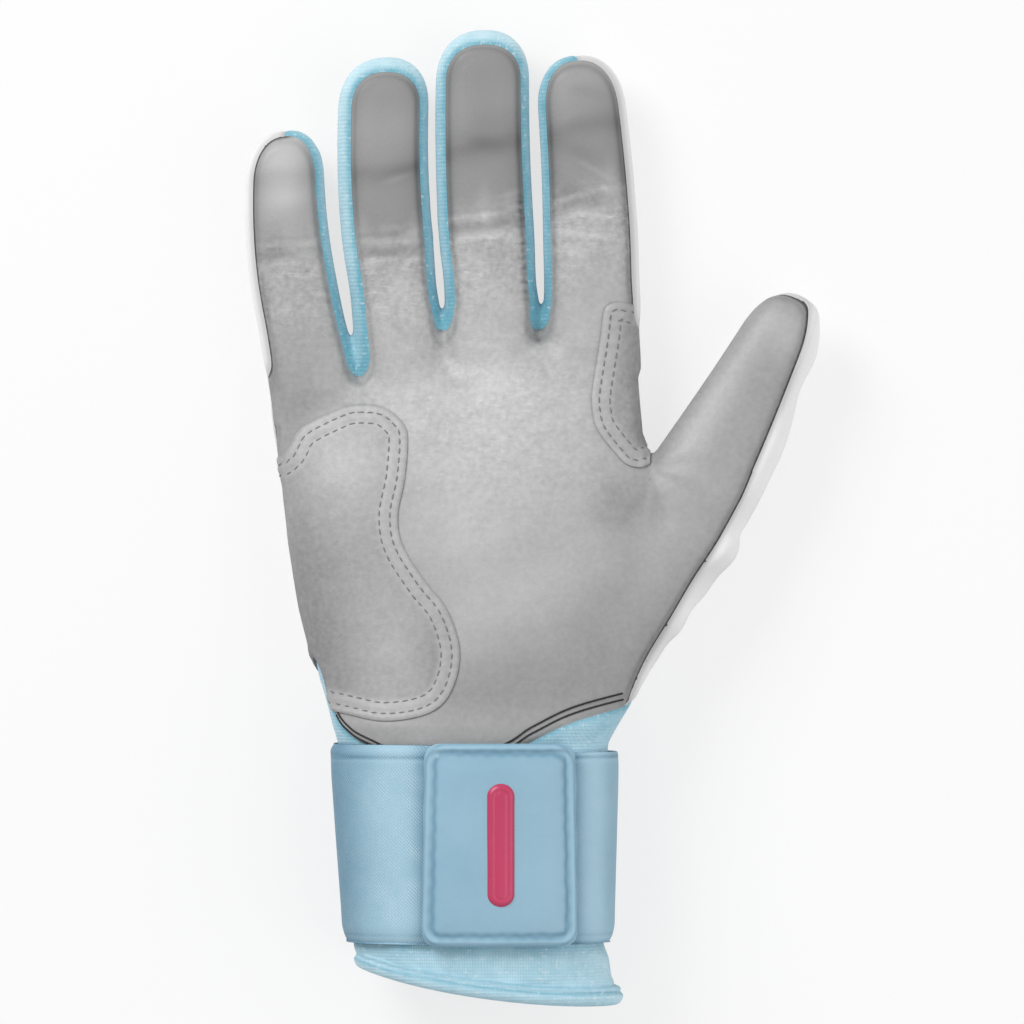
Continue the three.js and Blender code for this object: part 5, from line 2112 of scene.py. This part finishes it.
@dataclass
class WristStrap:
    """The strap round the wrist: anchored band, free elastic, closure tab and its fasteners."""

    wardrobe: Wardrobe
    top: float = -0.8
    height: float = 53.5
    gap: float = 0.3
    thickness: float = 1.8
    tab_left: float = -13.2
    tab_right: float = 27.6
    tab_inner: float = 2.4
    tab_thickness: float = 1.9
    tab_wall: float = 1.3
    tab_corner: float = 4.0
    under_tab: float = 8.0
    anchor_under: float = 7.0
    right_drop: float = 2.2
    swell: float = 0.9
    tab_flare: float = 0.035
    loop_levels: Span = (0.3, 1.1)
    hook_levels: Span = (1.4, 2.1)
    accent_width: float = 7.0
    accent_length: float = 33.0

    @property
    def low(self) -> float:
        """The strap's lower edge."""
        return self.top - self.height

    @property
    def tab_middle(self) -> Span:
        """The middle of the tab, across and up."""
        return (self.tab_left + self.tab_right) / 2, self.top - self.height / 2

    @property
    def tab_half(self) -> Span:
        """Half the tab's width and height."""
        return (self.tab_right - self.tab_left) / 2, self.height / 2 + 0.4

    def wrist(self, turn: Array, grow: Array | float) -> tuple[Array, Array]:
        """A place on the wrist's oval, grown outwards: across and height.

        Args:
            turn: turns round the wrist.
            grow: how far out, in millimetres.

        Returns:
            Places across, and heights.
        """
        across, up = oval(turn, HAND.wrist_squareness)
        z = HAND.wrist_middle + up * (HAND.wrist_depth / 2 + grow)
        floor = HAND.wrist_lift - grow + HAND.flat
        return across * (HAND.wrist_width / 2 + grow), np.maximum(z, floor)

    def laid(self, turn: Array, y: Array, grow: Array) -> Array:
        """A place on the strap, with the wrist's taper."""
        x, z = self.wrist(turn, grow)
        x = HAND.tapered(x, y) + self.swell * ease((x - 28) / 10)
        return np.stack([x, y, np.maximum(z, 0.0)], axis=-1)

    def turn_at(self, x: Array, grow: float) -> Array:
        """The turn at which the front of the oval crosses a place."""
        share = np.minimum(np.abs(x) / (HAND.wrist_width / 2 + grow), 1.0)
        return 0.5 - np.sign(x) * np.arcsin(share ** (HAND.wrist_squareness / 2)) / (2 * math.pi)

    def build(self) -> None:
        """Makes the strap's pieces."""
        free_edge = self.tab_left + self.under_tab
        anchored_edge = self.tab_right - self.anchor_under
        for name, body, node, start, end in (
            ("anchor_band", "hand", "strap_anchor_band", -0.25, float(self.turn_at(anchored_edge, self.gap))),
            ("front_elastic", "strap", "strap_elastic", float(self.turn_at(free_edge, self.gap)), 0.748),
        ):
            piece = self.band(name, start, end)
            dress(piece, self.wardrobe["strap_elastic"], body, (node,),
                  self.elastic_tone, self.elastic_highlight)
        self.tab()
        self.accent()
        self.fastener("loop_pile", "loop_patch", "hand", self.loop_levels)
        self.fastener("hook_pile", "hook_patch", "tab", self.hook_levels)

    def fastener(self, name: str, node: str, body: str, levels: Span) -> None:
        """A pad of pile between the tab and the wrist, the size of its part in the frame.

        Args:
            name: the piece's name.
            node: the frame's part.
            body: the body that it rides on.
            levels: its inner and outer face above the wrist.
        """
        low, high = (np.array(corner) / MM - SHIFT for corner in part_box(node))
        middle, half = (low + high) / 2, (high - low) / 2

        def shape(u: Array, v: Array) -> Array:
            """u runs across the pad and v up it."""
            x, y, inset = rounded_pad(u, v, half[0] - 0.4, half[1], 2.5)
            grow = levels[1] - 0.25 * bell(inset, 0.6)
            return self.laid(self.turn_at(middle[0] + x, levels[1]), middle[1] + y, grow)

        piece = sheet_piece(name, 60, 90, shape, levels[1] - levels[0])
        dress(piece, self.wardrobe["fastener_pile"], body, (node,))

    def elastic_tone(self, places: Array) -> Array:
        """Painted shade in the fold lines beside the strap's edges, at the turn of the wrist and by the tab,
        with painted highlights on the free elastic and near its right end.

        Args:
            places: places on the glove.

        Returns:
            One tone for each place.
        """
        x = places[:, 0]
        down = self.top - places[:, 1]
        up = places[:, 1] - self.low
        tone = 0.78 - 0.42 * bell(down - 3.4, 0.5) + 0.15 * bell(down - 4.4, 0.5) - 0.20 * bell(up - 2.4, 0.5)
        tone -= 0.30 * bell(up, 0.8) + 0.75 * bell(x + 38, 8.0) + 0.25 * bell(x - 38, 2.5)
        tone -= 0.42 * bell(x - self.tab_left, 2.6) + 0.40 * bell(x - self.tab_right, 1.6)
        # Painted highlights on the middle of the free elastic and near its right end
        return tone + 0.16 * bell(x + 20, 7.0) + 0.25 * bell(x - 33, 3.0)

    def elastic_highlight(self, places: Array) -> Array:
        """Where the painted highlight flecks show: mostly along the middle of the free elastic."""
        return np.clip(0.25 + 0.75 * bell(places[:, 0] + 20, 7.0), 0, 1)

    def band(self, name: str, start: float, end: float) -> Piece:
        """A band of elastic with rolled edges, between two turns round the wrist.

        Args:
            name: the piece's name.
            start: the turn that it starts at.
            end: the turn that it ends at.

        Returns:
            The piece.
        """
        def shape(u: Array, v: Array) -> Array:
            """Lays the band's skin round the wrist.

            Args:
                u: shares round its section.
                v: shares along the band.

            Returns:
                Places on the glove.
            """
            angle = u * 2 * math.pi
            half = self.height / 2
            side = signed_power(np.cos(angle), 2 / 14)
            out = signed_power(np.sin(angle), 2 / 3)
            turn = start + (end - start) * v
            y = self.top - half + side * half
            x, _ = self.wrist(turn, 0.0)
            y = y - self.right_drop * ease((x - self.tab_left) / 20) * ease(side + 0.5)
            fold = 0.28 * bell(self.top - y - 1.7, 1.3) + 0.2 * bell(y - self.low - 1.3, 1.1)
            ripple = 0.10 * np.sin(turn * 60 + y * 0.12) * bell(y - self.low, 16.0)
            tuck = 1.1 * bell(y - self.low, 2.6) + 0.5 * bell(self.top - y, 1.8)
            grow = self.gap + self.thickness / 2 + out * self.thickness / 2
            grow = grow + (out > 0) * (fold + ripple - tuck)
            return self.laid(turn, y, grow)

        return tube_piece(name, 132, 190, shape)

    def tab(self) -> None:
        """The moulded tab: a pad with a pressed line inside its rounded edge."""
        middle, centre_y = self.tab_middle
        half_x, half_y = self.tab_half

        def shape(u: Array, v: Array) -> Array:
            """Lays the tab on the strap; its corners are drawn in.

            Args:
                u: shares across the tab.
                v: shares up it.

            Returns:
                Places on the glove.
            """
            x, y, inset = rounded_pad(u, v, half_x, half_y, self.tab_corner)
            wobble = 0.25 * np.sin(y * 0.5) + 0.2 * np.sin(x * 0.7 + 1)
            pressed = -0.50 * bell(inset - 2.6 - wobble * 0.6, 0.90)
            rim = -0.9 * bell(inset, 0.7) + 0.18 * bell(inset - 1.3, 0.6)
            puff = 0.35 * ease((inset - 3.2) / 5) + 0.06 * np.sin(x * 0.21) * np.sin(y * 0.17)
            grow = self.tab_inner + self.tab_thickness + pressed + rim + puff - 0.2
            x = x * (1 - self.tab_flare * y / half_y) + 0.12 * np.sin(y * 0.45 + 1)
            return self.laid(self.turn_at(middle + x, self.tab_inner), centre_y + y, grow)

        piece = sheet_piece("tab_pad", 150, 190, shape, self.tab_wall)
        dress(piece, self.wardrobe["tab_sheet"], "tab", ("closure_tab",), self.tab_tone)

    def tab_tone(self, p: Array) -> Array:
        """Painted shade in the pressed line and at the edge, with a painted highlight just inside the edge.

        Args:
            p: places on the glove.

        Returns:
            One tone for each place.
        """
        middle, centre_y = self.tab_middle
        half_x, half_y = self.tab_half
        up = p[:, 1] - centre_y
        across = (p[:, 0] - middle) / (1 - self.tab_flare * up / half_y)
        inset = np.minimum(half_x - np.abs(across), half_y - np.abs(up))
        corner = np.hypot(np.maximum(np.abs(across) - half_x + self.tab_corner + 2, 0),
                          np.maximum(np.abs(up) - half_y + self.tab_corner + 2, 0))
        inset = np.minimum(inset, self.tab_corner + 2 - corner)
        wobble = 0.3 * np.sin(p[:, 1] * 1.3) + 0.3 * np.sin(p[:, 0] * 1.7 + 1)
        tone = 0.88 - 0.58 * bell(inset - 2.6 - wobble * 0.5, 0.9) + 0.14 * bell(inset - 0.9, 0.5)
        return tone - 0.45 * bell(inset, 0.5) - 0.10 * bell(inset - 5, 3.0)

    def accent(self) -> None:
        """The plain upright oblong raised on the tab."""
        middle, centre_y = self.tab_middle
        half_x, half_y = self.accent_width / 2, self.accent_length / 2

        def shape(u: Array, v: Array) -> Array:
            """Raises the oblong on the tab.

            Args:
                u: shares round the oblong.
                v: shares from edge to middle line.

            Returns:
                Places on the glove.
            """
            angle = u * 2 * math.pi
            x = np.sin(angle) * half_x * (1 - v)
            y = np.cos(angle) * half_x * (1 - v) + np.sign(np.cos(angle)) * (half_y - half_x)
            rise = 0.85 * (1 - (1 - np.minimum(v * 2.2, 1.0)) ** 2.2) - 0.18 * bell(v - 0.55, 0.12)
            grow = self.tab_inner + self.tab_thickness + 0.12 + rise
            return self.laid(self.turn_at(middle + x, self.tab_inner), centre_y + y, grow)

        piece = tube_piece("accent_bar", 120, 24, shape)
        dress(piece, self.wardrobe["accent_rubber"], "tab", ("tab_accent",), flat_tone)


@dataclass
class MouthBinding:
    """The rolled binding round the cuff's mouth."""

    wardrobe: Wardrobe
    half_height: float = 2.6
    half_depth: float = 2.2
    inset: float = 0.5

    def build(self) -> None:
        """Makes the roll."""
        row = HAND.stations()[1]
        y0, left, right, back, front, slant, squareness, _ = row

        def shape(u: Array, v: Array) -> Array:
            """Lays the roll's skin round the mouth.

            Args:
                u: shares round its section.
                v: shares round the mouth.

            Returns:
                Places on the glove.
            """
            angle = u * 2 * math.pi
            across, up = oval(v, np.full_like(v, squareness))
            pinch = 1 + 0.05 * np.sin(v * 2 * math.pi * 46)
            grow = self.half_depth * np.cos(angle) * pinch - self.inset
            groove = -0.75 * bell(np.sin(angle) - 0.35, 0.2) * (np.cos(angle) > 0)
            x = (left + right) / 2 + across * ((right - left) / 2 + grow + groove)
            z = (back + front) / 2 + up * ((front - back) / 2 + grow + groove)
            y = y0 + slant * across - HAND.sag(across, up) + self.half_height * np.sin(angle) + 0.3
            return np.stack([HAND.tapered(x, y), y, z], axis=-1)

        piece = tube_piece("mouth_roll", 28, 260, shape)
        dress(piece, self.wardrobe["cuff_knit"], "hand", ("cuff_binding",), self.tone)

    def tone(self, p: Array) -> Array:
        """Painted shade in the groove between the two rolled edges and at the roll's ends."""
        level = HAND.mouth(p) - 0.3
        return np.clip(0.95 - 0.8 * bell(level - 0.9, 0.45) - 0.5 * bell(level - 2.5, 0.5)
                       - 0.3 * bell(level + 2.4, 0.7), 0, 1)


# Studio

@dataclass(frozen=True)
class Studio:
    """A pale floor, soft lamps and the photograph's viewing angle from straight above."""

    view_width: float = 0.27648
    middle: Span = (-0.0058, 0.0013)
    distance: float = 2.4
    focus_height: float = 0.02
    sensor: float = 36.0
    floor_size: float = 3.0
    floor_height: float = -0.0004
    floor_colour: Colour = (0.86, 0.86, 0.86)
    floor_roughness: float = 0.9
    floor_glow: float = 0.72
    world_light: float = 0.46

    def build(self) -> None:
        """Sets the floor, the light and the camera."""
        self.floor()
        self.light()
        self.camera()
        bpy.context.scene.view_settings.view_transform = "Standard"

    def floor(self) -> None:
        """Lays a plain floor that the camera sees as near white."""
        bm = bmesh.new()
        bmesh.ops.create_grid(bm, x_segments=1, y_segments=1, size=self.floor_size)
        piece = new_object("floor", bm)
        piece.data.transform(Matrix.Translation((0, 0, self.floor_height)))
        bench = Bench("floor")
        bench.join(bench.shader, {"Base Color": (*self.floor_colour, 1), "Roughness": self.floor_roughness})
        seen = bench.node("ShaderNodeLightPath", {}, {}, "Is Camera Ray") * self.floor_glow
        mix = bench.node("ShaderNodeMixShader", {}, {
            0: seen, 1: Socket(bench, bench.shader.outputs[0]), 2: bench.node("ShaderNodeEmission", {}, {}),
        })
        bench.join(bench.tree.nodes["Material Output"], {"Surface": mix})
        piece.data.materials.append(bench.material)

    def light(self) -> None:
        """Hangs a broad soft lamp at the upper left and fills the rest from the world."""
        for name, place, size, power in (
            ("key", (-0.75, 0.85, 0.95), 0.7, 14.0),
            ("fill", (0.9, -0.3, 0.9), 1.2, 6.0),
        ):
            lamp = bpy.data.lights.new(name, "AREA")
            lamp.size = size
            lamp.energy = power
            made = bpy.data.objects.new(name, lamp)
            bpy.context.scene.collection.objects.link(made)
            made.location = place
            made.rotation_euler = (-Vector(place)).to_track_quat("-Z", "Y").to_euler()
        world = bpy.data.worlds.new("studio")
        world.use_nodes = True
        background = world.node_tree.nodes["Background"]
        background.inputs[0].default_value = (1, 1, 1, 1)
        background.inputs[1].default_value = self.world_light
        bpy.context.scene.world = world

    def camera(self) -> None:
        """Looks straight down from far enough that the view is nearly parallel."""
        data = bpy.data.cameras.new("camera")
        data.sensor_width = self.sensor
        data.lens = self.sensor * self.distance / self.view_width
        data.clip_end = 20
        made = bpy.data.objects.new("camera", data)
        bpy.context.scene.collection.objects.link(made)
        made.location = (self.middle[0], self.middle[1], self.distance + self.focus_height)
        bpy.context.scene.camera = made


def main() -> None:
    """Builds the glove's pieces in order and sets the studio round them."""
    logging.basicConfig(level=logging.INFO, format="%(name)s %(message)s")
    wardrobe = {finish.name: finish.build() for finish in FINISHES}
    skin = Skin()
    HandShell(skin, wardrobe).build()
    DigitShells(skin, wardrobe).build()
    SewnPatches(skin, wardrobe).build()
    SeamThreads(skin, wardrobe).build()
    WristStrap(wardrobe).build()
    MouthBinding(wardrobe).build()
    Studio().build()


if __name__ == "__main__":
    main()
